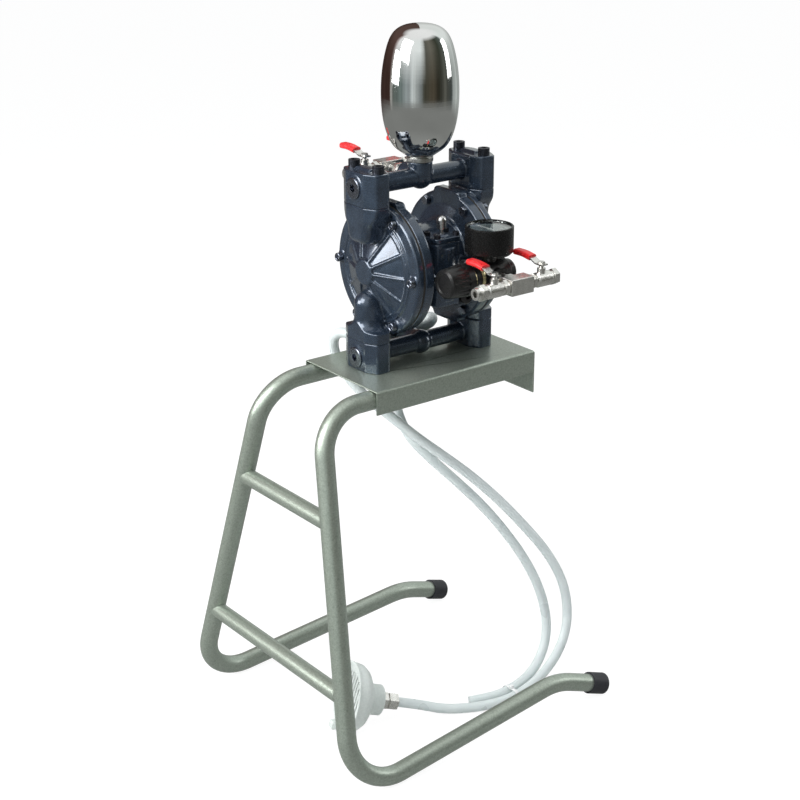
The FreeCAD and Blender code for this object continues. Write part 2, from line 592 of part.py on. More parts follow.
def manifold(label, sign, block_height):
    z_duct = f"@pz + ({sign}) * duct_rise"
    if sign > 0:
        low, chamber_low, chamber_long = "@pz + seam_rise", "@pz + seam_rise - 1", "outlet_roof + 1"
    else:
        low, chamber_low, chamber_long = "plate_top", f"@pz - duct_rise", "duct_rise - seam_rise + 1"
    solids = [port_block(side, low, block_height) for side in SIDES]
    solids += [rod((side_x(side, "@column_face - plug_ring_height - 2"), "@py", z_duct), "plug_ring_radius",
                   "plug_ring_height * 2 + 2", outward(side)) for side in SIDES]
    solids.append(rod((side_x("near", "column_reach"), "@py", z_duct), "duct_radius", "column_reach * 2", "X"))
    solids.append(rod(("@px", "@py", z_duct), "side_boss_radius", "side_boss_reach", "Y"))
    solids.append(ball(("@px", "@py", z_duct), "boss_radius"))
    bores = [rod((side_x("near", "@column_face"), "@py", z_duct), "duct_bore", "@column_face * 2", "X")]
    bores += [rod((side_x(side, "@column_face + 3"), "@py", z_duct), "plug_shank + bolt_gap",
                  "plug_shank_length + 3", outward({"near": "far", "far": "near"}[side])) for side in SIDES]
    bores.append(rod(("@px", "@py", z_duct), "duct_bore", "side_boss_reach + 1", "Y"))
    for side in SIDES:
        x = side_x(side, "column_reach")
        bores.append(rod((x, "@py", chamber_low), "chamber_bore" if sign > 0 else "duct_bore", chamber_long))
        if sign < 0:
            bores.append(rod((x, "@py", "@pz - seam_rise - seat_height"), "seat_radius", "seat_height + 1"))
        for end in (-1, 1):
            y = f"@py + ({end}) * manifold_bolt_pitch / 2"
            bores.append(rod((x, y, f"{low} - 1"), "manifold_bolt_radius + bolt_gap", f"({block_height}) + 2"))
    if sign > 0:
        solids.append(rod(("@px", "@py", z_duct), "boss_radius", "@block_top - duct_rise"))
        bores.append(rod(("@px", "@py", z_duct), "duct_bore", "@block_top - duct_rise + 1"))
        for side in SIDES:
            solids.append(rounded(block((side_x(side, "column_reach"), "@py", "@pz + @block_top"),
                                        ("block_flat_x * 0.7", "manifold_bolt_pitch - manifold_head_radius * 2.6", "6")),
                                  "2.5", lambda edge: edge.CenterOfMass.z > num("@pz + @block_top") + 1))
    keep(cut(fuse(*solids), *bores), label)


manifold("upper_manifold", 1, "upper_block_height")
manifold("lower_manifold", -1, "axis_rise - seam_rise")


def cap_screw(where, radius, head_radius, head_height, reach, down=True):
    """Socket cap screw whose head stands on a face at the given place."""
    x, y, z = where
    head = rod((x, y, z), head_radius, head_height, "Z" if down else "-Z")
    sign = "+" if down else "-"
    socket = prism((x, y, f"{z} {sign} ({head_height}) * 0.45"), f"({head_radius}) * 0.95", head_height,
                   "Z" if down else "-Z")
    return fuse(cut(head, socket), rod((x, y, z), radius, reach, "-Z" if down else "Z"))


gathered([cap_screw((*mount_spot(*spot), "@pz + @block_top"), "manifold_bolt_radius", "manifold_head_radius",
                    "manifold_head_height", "upper_block_height + seam_flange") for spot in MOUNT_SPOTS],
         "manifold_bolts")
gathered([cap_screw((*mount_spot(*spot), "plate_top - plate_sheet"), "manifold_bolt_radius", "manifold_head_radius",
                    "manifold_head_height", "plate_sheet + axis_rise - seam_rise + seam_flange", False)
          for spot in MOUNT_SPOTS], "pump_mounting_bolts")


def port_plug(side, sign):
    z = f"@pz + ({sign}) * duct_rise"
    face = "@column_face + plug_ring_height"
    disc = turned([("0", "0"), ("plug_radius", "0"), ("plug_radius", "plug_height - 0.8"),
                   ("plug_radius - 0.8", "plug_height"), ("0", "plug_height")], (side_x(side, face), "@py", z),
                  outward(side))
    shank = rod((side_x(side, f"{face} - plug_shank_length + 2"), "@py", z), "plug_shank", "plug_shank_length - 2",
                outward(side))
    socket = prism((side_x(side, f"{face} + plug_height - plug_hex_depth"), "@py", z), "plug_hex", "plug_hex_depth + 1",
                   outward(side))
    return cut(fuse(disc, shank), socket)


gathered([port_plug(side, sign) for side in SIDES for sign in (-1, 1)], "port_plugs")

# Check valves: a seat ring at each seam and a loose ball on it


def seat(side, sign):
    z = "@pz + seam_rise" if sign > 0 else "@pz - seam_rise"
    return turned([("seat_bore", f"-seat_height"), ("seat_radius - weld_gap", f"-seat_height"),
                   ("seat_radius - weld_gap", "0"), ("seat_bore", "0")], (side_x(side, "column_reach"), "@py", z))


gathered([seat(side, sign) for side in SIDES for sign in (-1, 1)], "ball_seats")
for side in SIDES:
    for name, sign in (("inlet", -1), ("outlet", 1)):
        keep(ball((side_x(side, "column_reach"), "@py", f"@pz + ({sign}) * seam_rise + @ball_sit"), "ball_radius"),
             f"{side}_{name}_ball")

# Shaft assembly that slides along X with both diaphragms

shaft_end = "air_face - clamp_thickness"
stud_hole = [rod((side_x(side, f"{shaft_end} + 1"), "@py", "@pz"), "clamp_stud", "stud_length + 1",
                 outward({"near": "far", "far": "near"}[side])) for side in SIDES]
keep(cut(rod((side_x("near", shaft_end), "@py", "@pz"), "shaft_radius", f"2 * ({shaft_end})", "X"), *stud_hole),
     "diaphragm_shaft")

bush = [("shaft_radius + shaft_play", "chamber_floor - bush_length"), ("bush_radius", "chamber_floor - bush_length"),
        ("bush_radius", "chamber_floor - 1"), ("shaft_radius + shaft_play", "chamber_floor - 1")]
gathered([turned(bush, ("@px", "@py", "@pz"), outward(side)) for side in SIDES], "shaft_bushes")

inner_clamp = [("clamp_stud", shaft_end), ("clamp_radius - 2", shaft_end), ("clamp_radius", f"{shaft_end} + 2"),
               ("clamp_radius", "air_face"), ("clamp_stud", "air_face")]
gathered([turned(inner_clamp, ("@px", "@py", "@pz"), outward(side)) for side in SIDES], "inner_diaphragm_plates")

stud_tip = f"{shaft_end} - stud_length + 1"
outer_clamp = [("0", stud_tip), ("clamp_stud", stud_tip), ("clamp_stud", "@fluid_face"), ("clamp_radius", "@fluid_face"),
               ("clamp_radius", "@fluid_face + clamp_thickness * 0.5"), ("clamp_radius - 5", "@fluid_face + clamp_thickness"),
               ("clamp_radius * 0.4", "@fluid_face + clamp_thickness + 1"),
               ("clamp_radius * 0.3", "@fluid_face + clamp_thickness + clamp_nose"),
               ("0", "@fluid_face + clamp_thickness + clamp_nose")]
gathered([turned(outer_clamp, ("@px", "@py", "@pz"), outward(side)) for side in SIDES], "outer_diaphragm_plates")


def diaphragm(side):
    """Rubber disc with one rolled convolution between the clamp and the rim."""
    start, end = "clamp_radius + 2", "chamber_radius - 1"
    span = f"(({end}) - ({start}))"
    arch = [(0.0, 0.0), (0.14, 0.5), (0.32, 0.86), (0.5, 1.0), (0.68, 0.86), (0.86, 0.5), (1.0, 0.0)]
    lower = [(f"{start} + {share} * {span}", f"air_face + {rise} * rubber * 2.4") for share, rise in arch]
    upper = [(f"{start} + {share} * {span}", f"@fluid_face + {rise} * rubber * 2.4") for share, rise in arch]
    points = [("clamp_stud", "air_face"), *lower, ("disc_radius - 0.6", "air_face"), ("disc_radius - 0.6", "@fluid_face"),
              *reversed(upper), ("clamp_stud", "@fluid_face")]
    holes = [rod((side_x(side, "air_face - 1"), *around("cover_bolt_circle", angle)), "cover_bolt_radius + bolt_gap",
                 "rubber + 2", outward(side)) for angle in range(0, 360, 60)]
    keep(cut(turned(points, ("@px", "@py", "@pz"), outward(side)), *holes), f"{side}_diaphragm")


for side in SIDES:
    diaphragm(side)

# Air valve block on the centre body, with its spool, cap and reset pin

VX, VY = "@px + valve_du", "@py + valve_dv"
housing = rounded(block((VX, VY, "@pz + (valve_high - valve_low) / 2"),
                        ("valve_width", "valve_depth", "valve_high + valve_low")), "valve_corner", upright)
bulge = rod((VX, "@py + valve_dv - valve_depth / 2 + 8", "@pz - valve_low + 6"), "11", "valve_high + valve_low - 12")
bore = rod((VX, VY, "@pz - spool_half - spool_room"), "spool_radius + spool_play",
           "spool_half + spool_room + valve_high + 1")
SCREW_SPOTS = [(f"{VX} + ({across}) * valve_screw_dx", f"{VY} + ({along}) * valve_screw_dy")
               for across in (-1, 1) for along in (-1, 1)]
screw_holes = [rod((*spot, "@pz + valve_high - 10"), "valve_screw_radius + bolt_gap", "11") for spot in SCREW_SPOTS]
keep(cut(fuse(housing, bulge), bore, *screw_holes), "air_valve_housing")

lid = rounded(block((VX, VY, "@pz + valve_high + valve_cap_height / 2"),
                    ("valve_width", "valve_depth", "valve_cap_height")), "valve_corner", upright)
lid_holes = [rod((*spot, "@pz + valve_high - 1"), "valve_screw_radius + bolt_gap", "valve_cap_height + 2")
             for spot in SCREW_SPOTS]
lid_collar = rod((VX, VY, "@pz + valve_high"), "pin_radius + 2", "valve_cap_height + 2")
lid_bore = rod((VX, VY, "@pz + valve_high - 1"), "pin_guide + spool_play", "valve_cap_height + 4")
keep(cut(fuse(lid, lid_collar), lid_bore, *lid_holes), "air_valve_cap")
gathered([cap_screw((*spot, "@pz + valve_high + valve_cap_height"), "valve_screw_radius", "valve_screw_head",
                    "valve_screw_height", "valve_cap_height + 8") for spot in SCREW_SPOTS], "air_valve_screws")

spool = [("0", "-spool_half"), ("spool_radius", "-spool_half"), ("spool_radius", "-spool_half * 0.6"),
         ("spool_radius * 0.6", "-spool_half * 0.6"), ("spool_radius * 0.6", "-spool_half * 0.2"),
         ("spool_radius", "-spool_half * 0.2"), ("spool_radius", "spool_half * 0.2"),
         ("spool_radius * 0.6", "spool_half * 0.2"), ("spool_radius * 0.6", "spool_half * 0.6"),
         ("spool_radius", "spool_half * 0.6"), ("spool_radius", "spool_half"), ("0", "spool_half")]
keep(turned(spool, (VX, VY, "@pz")), "air_valve_spool")

pin_low = "valve_high + valve_cap_height + pin_skirt - 1.5"
pin = fuse(rod((VX, VY, f"@pz + {pin_low}"), "pin_radius", f"pin_top - pin_radius - ({pin_low})"),
           ball((VX, VY, "@pz + pin_top - pin_radius"), "pin_radius"),
           rod((VX, VY, "@pz + valve_high - 1"), "pin_guide", f"{pin_low} - valve_high + 2"))
keep(pin, "reset_pin")

muffler_spot = ("@px + muffler_du", "@py - muffler_from", "@pz + muffler_dw")
muffler = turned([("0", "0"), ("muffler_radius - 2", "0"), ("muffler_radius - 2", "4"), ("muffler_radius", "4"),
                  ("muffler_radius", "muffler_to - muffler_from - 2"), ("muffler_radius - 2", "muffler_to - muffler_from"),
                  ("3", "muffler_to - muffler_from"), ("3", "muffler_to - muffler_from - 4"),
                  ("0", "muffler_to - muffler_from - 4")], muffler_spot, "-Y")
keep(muffler, "exhaust_muffler")

# Regulator, its knob and brass rings, and the pressure gauge


def reg_x(offset):
    return f"@px + ({offset})"


reg_spot = (reg_x("0"), "@reg_y", "@reg_z")
reg_profile = [("0", "reg_left"), ("reg_radius - 3", "reg_left"), ("reg_radius", "reg_left + 3"),
               ("reg_radius", "reg_right - 3"), ("reg_radius - 3", "reg_right"), ("reg_cap_radius", "reg_right"),
               ("reg_cap_radius", "reg_right + reg_cap_length - 2"), ("reg_cap_radius - 2", "reg_right + reg_cap_length"),
               ("0", "reg_right + reg_cap_length")]
neck = rod((reg_x("reg_neck_end"), "@reg_y", "@reg_z"), "reg_neck_radius", "reg_left - reg_neck_end + 1", "X")
reg_ports = rod(("@reg_x", "@reg_y - reg_port_half", "@reg_z"), "reg_port_radius", "reg_port_half * 2", "Y")
gauge_boss = rod(("@reg_x", "@reg_y", "@reg_z"), "gauge_stem_radius + 2.5", "reg_radius + 2")
through = rod(("@reg_x", "@reg_y - reg_port_half - 1", "@reg_z"), "nipple_bore", "reg_port_half * 2 + 2", "Y")
keep(cut(fuse(turned(reg_profile, reg_spot, "X"), neck, reg_ports, gauge_boss), through), "regulator_body")


def brass_ring(start):
    inner = "reg_neck_radius + ring_gap"
    return turned([(inner, "0"), ("ring_radius - 0.6", "0"), ("ring_radius", "0.6"), ("ring_radius", "ring_width - 0.6"),
                   ("ring_radius - 0.6", "ring_width"), (inner, "ring_width")], (reg_x(start), "@reg_y", "@reg_z"), "X")


gathered([brass_ring("ring_one"), brass_ring("ring_two")], "regulator_rings")

knob_end = "reg_neck_end - knob_gap"
knob_profile = [("0", "0"), ("reg_neck_radius", "0"), ("knob_radius", "0"), ("knob_radius", "knob_length * 0.3"),
                ("knob_face_radius", "knob_length - 2"), ("knob_face_radius - 2", "knob_length"),
                ("knob_face_radius - 5", "knob_length"), ("knob_face_radius - 6", "knob_length - 1.2"),
                ("0", "knob_length - 1.2")]
knob = turned(knob_profile, (reg_x(knob_end), "@reg_y", "@reg_z"), "-X")
flutes = []
for index in range(18):
    turn = index * 20
    flutes.append(rod((reg_x(f"{knob_end} - knob_length * 0.25"),
                       f"@reg_y + (knob_radius + 0.9) * cos({turn} deg)", f"@reg_z + (knob_radius + 0.9) * sin({turn} deg)"),
                      "2.2", "knob_length", "-X"))
keep(cut(knob, *flutes), "regulator_knob")

gauge_spot = ("@reg_x", "@reg_y", "@reg_z")
case = [("0", "gauge_low"), ("gauge_radius - 3", "gauge_low"), ("gauge_radius", "gauge_low + 3"),
        ("gauge_radius", "gauge_high - 0.8"), ("gauge_radius - 0.8", "gauge_high"),
        ("gauge_radius - gauge_wall", "gauge_high"), ("gauge_radius - gauge_wall", "gauge_low + gauge_floor"),
        ("0", "gauge_low + gauge_floor")]
stem = rod(("@reg_x", "@reg_y", "@reg_z + reg_radius + 2"), "gauge_stem_radius", "gauge_low - reg_radius - 2")
stem_hex = prism(("@reg_x", "@reg_y", "@reg_z + reg_radius + 2.5"), "gauge_hex", "gauge_low - reg_radius - 3")
keep(fuse(turned(case, gauge_spot), stem, stem_hex), "gauge_case")

inner_radius = "gauge_radius - gauge_wall - weld_gap"
dial_z = "gauge_high - dial_drop"
dial_post = rod(("@reg_x", "@reg_y", "@reg_z + gauge_low + gauge_floor"), "6",
                f"{dial_z} - dial_thickness - gauge_low - gauge_floor")
dial = rod(("@reg_x", "@reg_y", f"@reg_z + {dial_z} - dial_thickness"), inner_radius, "dial_thickness")
spindle = rod(("@reg_x", "@reg_y", f"@reg_z + {dial_z}"), "0.8", "needle_lift + needle_thickness * 3")
keep(fuse(dial_post, dial, spindle), "gauge_dial")

needle_z = f"@reg_z + {dial_z} + needle_lift"
pointer = extruded([("-needle_width / 2", "-needle_tail"), ("needle_width / 2", "-needle_tail"),
                    ("needle_width / 2", "0"), ("0.25", "needle_length"), ("-0.25", "needle_length"),
                    ("-needle_width / 2", "0")], ("@reg_x", "@reg_y", needle_z), "needle_thickness")
needle_cap = rod(("@reg_x", "@reg_y", needle_z), "needle_hub", "needle_thickness * 2")
needle_hole = rod(("@reg_x", "@reg_y", f"{needle_z} - 1"), "0.85", "3")
keep(cut(fuse(pointer, needle_cap), needle_hole), "gauge_needle")
keep(rod(("@reg_x", "@reg_y", "@reg_z + gauge_high - lens_drop - lens_thickness"), inner_radius, "lens_thickness"),
     "gauge_lens")


def nipple(start, end, hex_start):
    """Threaded nipple along Y between two faces, both given as distances from the pump axis towards -Y."""
    pipe = rod(("@reg_x", f"@py - ({start})", "@reg_z"), "nipple_radius", f"({end}) - ({start})", "-Y")
    grip = prism(("@reg_x", f"@py - ({hex_start})", "@reg_z"), "nipple_hex", "6", "-Y")
    bore = rod(("@reg_x", f"@py - ({start}) + 1", "@reg_z"), "nipple_bore", f"({end}) - ({start}) + 2", "-Y")
    return cut(fuse(pipe, grip), bore)


reg_back = "-reg_dv - reg_port_half"
reg_front = "-reg_dv + reg_port_half"
gathered([nipple("inlet_boss_face", reg_back, "inlet_boss_face + 5"),
          nipple(reg_front, "-tee_dv - tee_y / 2", f"{reg_front} + 12")], "regulator_nipples")

# Tee blocks and ball valves, one set at the air regulator and one at the fluid outlet


def tee_block(label, centre, port_turn, reach):
    """Square tee with a run along X and one port on the side."""
    x, y, z = centre
    body = rounded(block(centre, ("tee_x", "tee_y", "tee_z")), "tee_edge", lambda edge: True)
    run = rod((f"{x} - tee_x", y, z), "nipple_bore", "tee_x * 2", "X")
    branch = rod(centre, "nipple_bore * 0.9", "tee_y", port_turn)
    pieces = [body]
    if reach:
        start = f"{y} - tee_y / 2"
        pieces.append(rod((x, f"{start} + 3", z), "nipple_radius", f"({reach}) + 3", "-Y"))
        pieces.append(prism((x, f"{start} - ({reach}) / 2 + 3", z), "nipple_hex", "6", "-Y"))
        branch = rod(centre, "nipple_bore * 0.9", f"tee_y / 2 + ({reach}) + 1", port_turn)
    keep(cut(fuse(*pieces) if reach else body, run, branch), label)


REAR_REACH = "rear_tee_dv - tee_y / 2 - side_boss_reach"
TEES = {
    "front": ("@reg_x", "@tee_y", "@reg_z"),
    "rear": ("@px + rear_tee_du", "@py + rear_tee_dv", "@pz + duct_rise"),
}
tee_block("front_tee", TEES["front"], "Y", None)
tee_block("rear_tee", TEES["rear"], "-Y", REAR_REACH)


def lever_line(start, end):
    """Part of the bent lever's middle line, between two distances from the stem."""
    flat, level = num("lever_height + lever_sheet / 2"), num("lever_height + lever_sheet / 2 + lever_rise")
    corners = [Vector(0, num("-lever_width"), flat), Vector(0, num("grip_from * 0.35"), flat),
               Vector(0, num("grip_from * 0.95"), level - 1.4), Vector(0, num("lever_length * 0.68"), level + 0.6),
               Vector(0, num("lever_length + 5"), level)]
    whole = rounded_path(corners, [7, 16, 60])
    window = Part.makeBox(20, end - start, 60, Vector(-10, start, 0))
    return Part.Wire(Part.__sortEdges__(whole.common(window).Edges))


def ribbon(line, width, height, corner):
    """Flat bar along a line, its long edges rounded where a corner is given."""
    first = line.Edges[0]
    along = first.tangentAt(first.FirstParameter)
    across = Vector(1, 0, 0)
    up = along.cross(across)
    centre = first.valueAt(first.FirstParameter)
    edges = []
    spots = [(sx * (width / 2 - corner), sy * (height / 2 - corner)) for sx, sy in ((1, 1), (-1, 1), (-1, -1), (1, -1))]
    turns = [0, 90, 180, 270]
    for index, ((u, v), turn) in enumerate(zip(spots, turns)):
        def spot(angle):
            bend = math.radians(angle)
            return centre + across * (u + corner * math.cos(bend)) + up * (v + corner * math.sin(bend))
        if corner:
            edges.append(Part.Arc(spot(turn), spot(turn + 45), spot(turn + 90)).toShape())
        far_u, far_v = spots[(index + 1) % 4]
        bend = math.radians(turn + 90)
        next_spot = centre + across * (far_u + corner * math.cos(bend)) + up * (far_v + corner * math.sin(bend))
        edges.append(Part.LineSegment(spot(turn + 90), next_spot).toShape())
    return line.makePipeShell([Part.Wire(edges)], True, False)


valve_bodies = {tee: [] for tee in TEES}


def valve_parts(tee, hand):
    """Body, lever and grip of one ball valve, joined to the tee by a nut. Left is towards -X."""
    x_tee, y, z = TEES[tee]
    sign = -1 if hand == "left" else 1
    x = f"{x_tee} + ({sign}) * (tee_x / 2 + joint_nut + valve_half - stem_shift)"
    middle = f"{x_tee} + ({sign}) * (tee_x / 2 + joint_nut + valve_half)"
    away = "X" if sign > 0 else "-X"
    half, radius = "valve_half", "valve_body_radius"
    profile = [("valve_bore", f"-{half}"), (f"{radius} - 2", f"-{half}"), (f"{radius} - 2", f"-{half} + 3"),
               (radius, f"-{half} + 4"), (radius, f"{half} - 10"), (f"{radius} - 1", f"{half} - 9"),
               (f"{radius} - 1", f"{half} - 6"), (f"{radius} - 1.5", f"{half}"), ("valve_bore", f"{half}")]
    start = f"{x_tee} + ({sign}) * tee_x / 2"
    body = [turned(profile, (middle, y, z), away),
            prism((f"{middle} + ({sign}) * (valve_half - 6)", y, z), "valve_body_radius * 2 - 0.4", "6", away),
            rod((start, y, z), "nipple_radius", "joint_nut + 0.5", away),
            prism((f"{start} + ({sign}) * 1.5", y, z), "nipple_hex", "joint_nut - 2.5", away),
            rod((x, y, z), "stem_boss_radius", "stem_boss_top")]
    if hand == "left":
        body.append(rod((f"{middle} - valve_half + 0.5", y, z), "nipple_radius", "hose_nut + 0.5", "-X"))
    bores = [rod((f"{middle} - valve_half - 20", y, z), "valve_bore", "valve_half * 2 + 40", "X"),
             ball((x, y, z), "valve_ball_radius + valve_ball_gap"),
             rod((x, y, z), "stem_radius + stem_gap", "stem_boss_top + 1")]
    if hand == "right":
        bores.append(rod((f"{middle} + valve_half - valve_port_depth", y, z), "valve_port", "valve_port_depth + 1", "X"))
    valve_bodies[tee].append(cut(fuse(*body), *bores))

    handle = put(shaped(ribbon(lever_line(num("-lever_width * 0.6"), num("lever_length - 1.4")), num("lever_width"),
                               num("lever_sheet"), 0)), (x, y, z))
    stem_rod = rod((x, y, z), "stem_radius", "stem_top")
    stem_nut = prism((x, y, f"{z} + lever_height + lever_sheet"), "stem_radius * 3", "2.2")
    core = ball((x, y, z), "valve_ball_radius")
    passage = rod((x, f"{y} - valve_half", z), "valve_bore", "valve_half * 2", "Y")
    keep(fuse(cut(core, passage), cut(stem_rod, passage), stem_nut, handle), f"{tee}_{hand}_lever")
    dip = put(shaped(ribbon(lever_line(num("grip_from"), num("lever_length")), num("grip_width"), num("grip_height"),
                            num("grip_height / 2 - 0.2"))), (x, y, z))
    keep(cut(dip, handle), f"{tee}_{hand}_grip")


for tee in TEES:
    for hand in ("left", "right"):
        valve_parts(tee, hand)
    gathered(valve_bodies[tee], f"{tee}_valve_bodies")

# Surge tank: a spun bottle on a threaded collar


def tank_shape():
    """Thin bottle: one smooth curve from the neck over the belly to the flat crown, revolved."""
    wide, high = num("tank_radius"), num("tank_height")
    profile = [(0.483, 0.035), (0.672, 0.08), (0.814, 0.147), (0.91, 0.231), (0.967, 0.322), (0.995, 0.42),
               (1.0, 0.503), (0.981, 0.615), (0.934, 0.72), (0.873, 0.804), (0.788, 0.881), (0.672, 0.937),
               (0.519, 0.972), (0.307, 0.993)]

    def skin(inset):
        neck = Vector(num("tank_neck") - inset, 0, 0)
        curve = [neck] + [Vector(wide * out - inset, 0, high * up) for out, up in profile]
        crown = Vector(0, 0, high - inset)
        curve[-1].z -= inset * 0.8
        curve[-2].z -= inset * 0.6
        spline = Part.BSplineCurve()
        spline.interpolate(curve + [crown])
        edges = [spline.toShape(), Part.LineSegment(crown, Vector()).toShape(), Part.LineSegment(Vector(), neck).toShape()]
        return Part.Face(Part.Wire(edges)).revolve(Vector(), Vector(0, 0, 1), 360)

    return skin(0).cut(skin(num("tank_wall")))


keep(put(shaped(tank_shape()), ("@px", "@py", "@collar_z + collar_height")), "surge_tank")
keep(cut(fuse(rod(("@px", "@py", "@collar_z"), "collar_radius", "collar_height"),
              rod(("@px", "@py", "@collar_z - 8"), "duct_bore - weld_gap", "9")),
         rod(("@px", "@py", "@collar_z - 9"), "duct_bore - 2.5", "collar_height + 10")), "tank_collar")

# Hose tee behind the lower manifold, with a nut on each hose

HY, HZ = "@py + hose_tee_dv", "@pz - duct_rise"
hose_tee = [rounded(block(("@px", HY, HZ), ("hose_tee_core", "hose_tee_core", "hose_tee_core")), "tee_edge * 2",
                    lambda edge: True),
            rod(("@px", "@py + side_boss_reach", HZ), "nipple_radius", "hose_tee_dv - side_boss_reach - 4", "Y")]
for side in SIDES:
    hose_tee.append(rod((side_x(side, "hose_tee_core / 2 - 3"), HY, HZ), "hose_od / 2 + 0.6",
                        "hose_tee_half - hose_tee_core / 2 + 3", outward(side)))
    hose_tee.append(prism((side_x(side, "hose_tee_half - 9"), HY, HZ), "hose_tee_nut * 2", "7", outward(side)))
keep(fuse(*hose_tee), "inlet_hose_tee")

# Foot strainer lying on its rim on the floor, its neck pointing along the hose

AIM = Rotation(Vector(0, 0, 1), -num("strainer_yaw")) * Rotation(Vector(0, 1, 0), 90 + num("strainer_tilt"))
AXIS = AIM.multVec(Vector(0, 0, 1))


def on_axis(distance):
    """Place on the strainer's axis, a distance ahead of the middle of its rim."""
    aim = "cos(strainer_tilt * 1 deg)"
    return (f"plate_x - strainer_reach + ({distance}) * {aim} * cos(strainer_yaw * 1 deg)",
            f"strainer_dy - ({distance}) * {aim} * sin(strainer_yaw * 1 deg)",
            f"strainer_radius * 0.965 * {aim} + (strainer_depth / 2 - ({distance})) * sin(strainer_tilt * 1 deg) + 0.1")


BELL = [
    ("0", "strainer_depth - 5"), ("strainer_radius * 0.6", "strainer_depth - 6.5"),
    ("strainer_radius * 0.84", "strainer_depth * 0.5"), ("strainer_radius - strainer_wall", "6"),
    ("strainer_radius - strainer_wall", "0"), ("strainer_radius + strainer_lip", "0"),
    ("strainer_radius + strainer_lip", "1.6"), ("strainer_radius", "2.4"), ("strainer_radius", "7"),
    ("strainer_radius * 0.965", "strainer_depth * 0.5"), ("strainer_radius * 0.84", "strainer_depth * 0.74"),
    ("strainer_radius * 0.64", "strainer_depth * 0.92"), ("strainer_neck + 1", "strainer_depth"),
    ("strainer_neck", "strainer_depth + 1"), ("strainer_neck", "strainer_depth + strainer_collar - 1"),
    ("strainer_neck - 1", "strainer_depth + strainer_collar"), ("0", "strainer_depth + strainer_collar"),
]
bell_inlet = rod(on_axis("strainer_depth - 8"), "strainer_neck - 4", "strainer_collar", AIM)
bell = cut(turned(BELL, on_axis("0"), AIM), bell_inlet)

sieve = rod(on_axis("3"), "strainer_radius - strainer_wall - tie_gap", "strainer_wall", AIM)
slots = []
for index in range(-4, 5):
    offset = 7 * index
    reach = math.sqrt(num("sieve_radius") ** 2 - offset ** 2)
    slot = Part.makeBox(2 * reach, num("sieve_slot"), 8, Vector(-reach, offset - num("sieve_slot / 2"), -1))
    slots.append(put(shaped(slot), on_axis("3"), AIM))
gathered([bell, cut(sieve, *slots)], "foot_strainer")

fitting_from = "strainer_depth + strainer_collar"
fitting = [rod(on_axis(fitting_from), "nipple_radius", "fitting_length", AIM),
           prism(on_axis(f"{fitting_from} + 0.5"), "fitting_hex", "7", AIM),
           prism(on_axis(f"{fitting_from} + 9.5"), "fitting_hex - 1", "11", AIM)]
keep(fuse(*fitting), "strainer_fitting")
nozzle = on_axis(f"{fitting_from} + fitting_length")

# Hoses: straight runs joined by tangent arcs through hand-chosen points


def hose_radii(points):
    radii = []
    for before, corner, after in zip(points[:-2], points[1:-1], points[2:]):
        back, ahead = before - corner, after - corner
        half_turn = (math.pi - back.getAngle(ahead)) / 2
        radii.append(0.45 * min(back.Length, ahead.Length) / math.tan(half_turn))
    return radii


def hose(label, start, route, finish=()):
    points = [Vector(*[num(text) for text in start])]
    points += [Vector(num("plate_x") + x, y, z) for x, y, z in route]
    points += [Vector(*[num(text) for text in spot]) for spot in finish]
    radii = hose_radii(points)
    wire = rounded_path(points, radii)
    tube = swept(wire, num("hose_od / 2"))
    area = math.pi * num("hose_od / 2") ** 2
    print(label, "length", round(wire.Length), "radii", [round(radius) for radius in radii],
          "volume ratio", round(tube.Volume / (area * wire.Length), 4))
    keep(shaped(tube), label)
    return wire


SUCTION_ROUTE = [
    (-40, 44, 437.5), (-56, 54, 444), (-62, 72, 445), (-60, 88, 432), (-52, 97, 410), (-41, 93, 383),
    (-26, 70, 355), (-10, 42, 336), (7, 14, 314), (30, -8, 292), (58, -26, 265), (90, -42, 229),
    (119, -54, 192), (147, -61, 155), (166, -69, 117), (172, -75, 82), (165, -82, 50), (144, -89, 26),
    (112, -97, 12), (79, -105, 7.8), (48, -109, 7.3), (20, -103, 6.6), (-5, -91, 6), (-28, -77, 7),
]
RETURN_ROUTE = [
    (44, 44, 437.5), (61.56, 54, 440), (69.56, 72, 438), (67.56, 88, 424), (57.56, 96, 404),
    (41.56, 96, 382), (24.56, 84, 358), (11.56, 62, 335), (8, 36, 311), (22, 13, 287), (46, -8, 258), (73, -25, 225), (97, -38, 190),
    (119, -49, 153), (138, -57, 112), (148, -62, 73), (146, -67, 43), (131, -74, 21), (104, -84, 9.5),
    (71, -92, 7.5), (40, -94.5, 7.2), (10, -82, 6),
]
ahead = on_axis(f"{fitting_from} + fitting_length + 28.4")
suction = hose("suction_hose", ("@px - hose_tee_half", HY, HZ), SUCTION_ROUTE, (ahead, nozzle))
returned = hose("return_hose", ("@px + hose_tee_half", HY, HZ), RETURN_ROUTE)


def hose_spot(wire, reach):
    """Point of a hose on the floor that lies nearest to a reach along X."""
    low = [spot for spot in wire.discretize(600) if spot.z < 20]
    return min(low, key=lambda spot: abs(spot.x - num("plate_x") - reach))


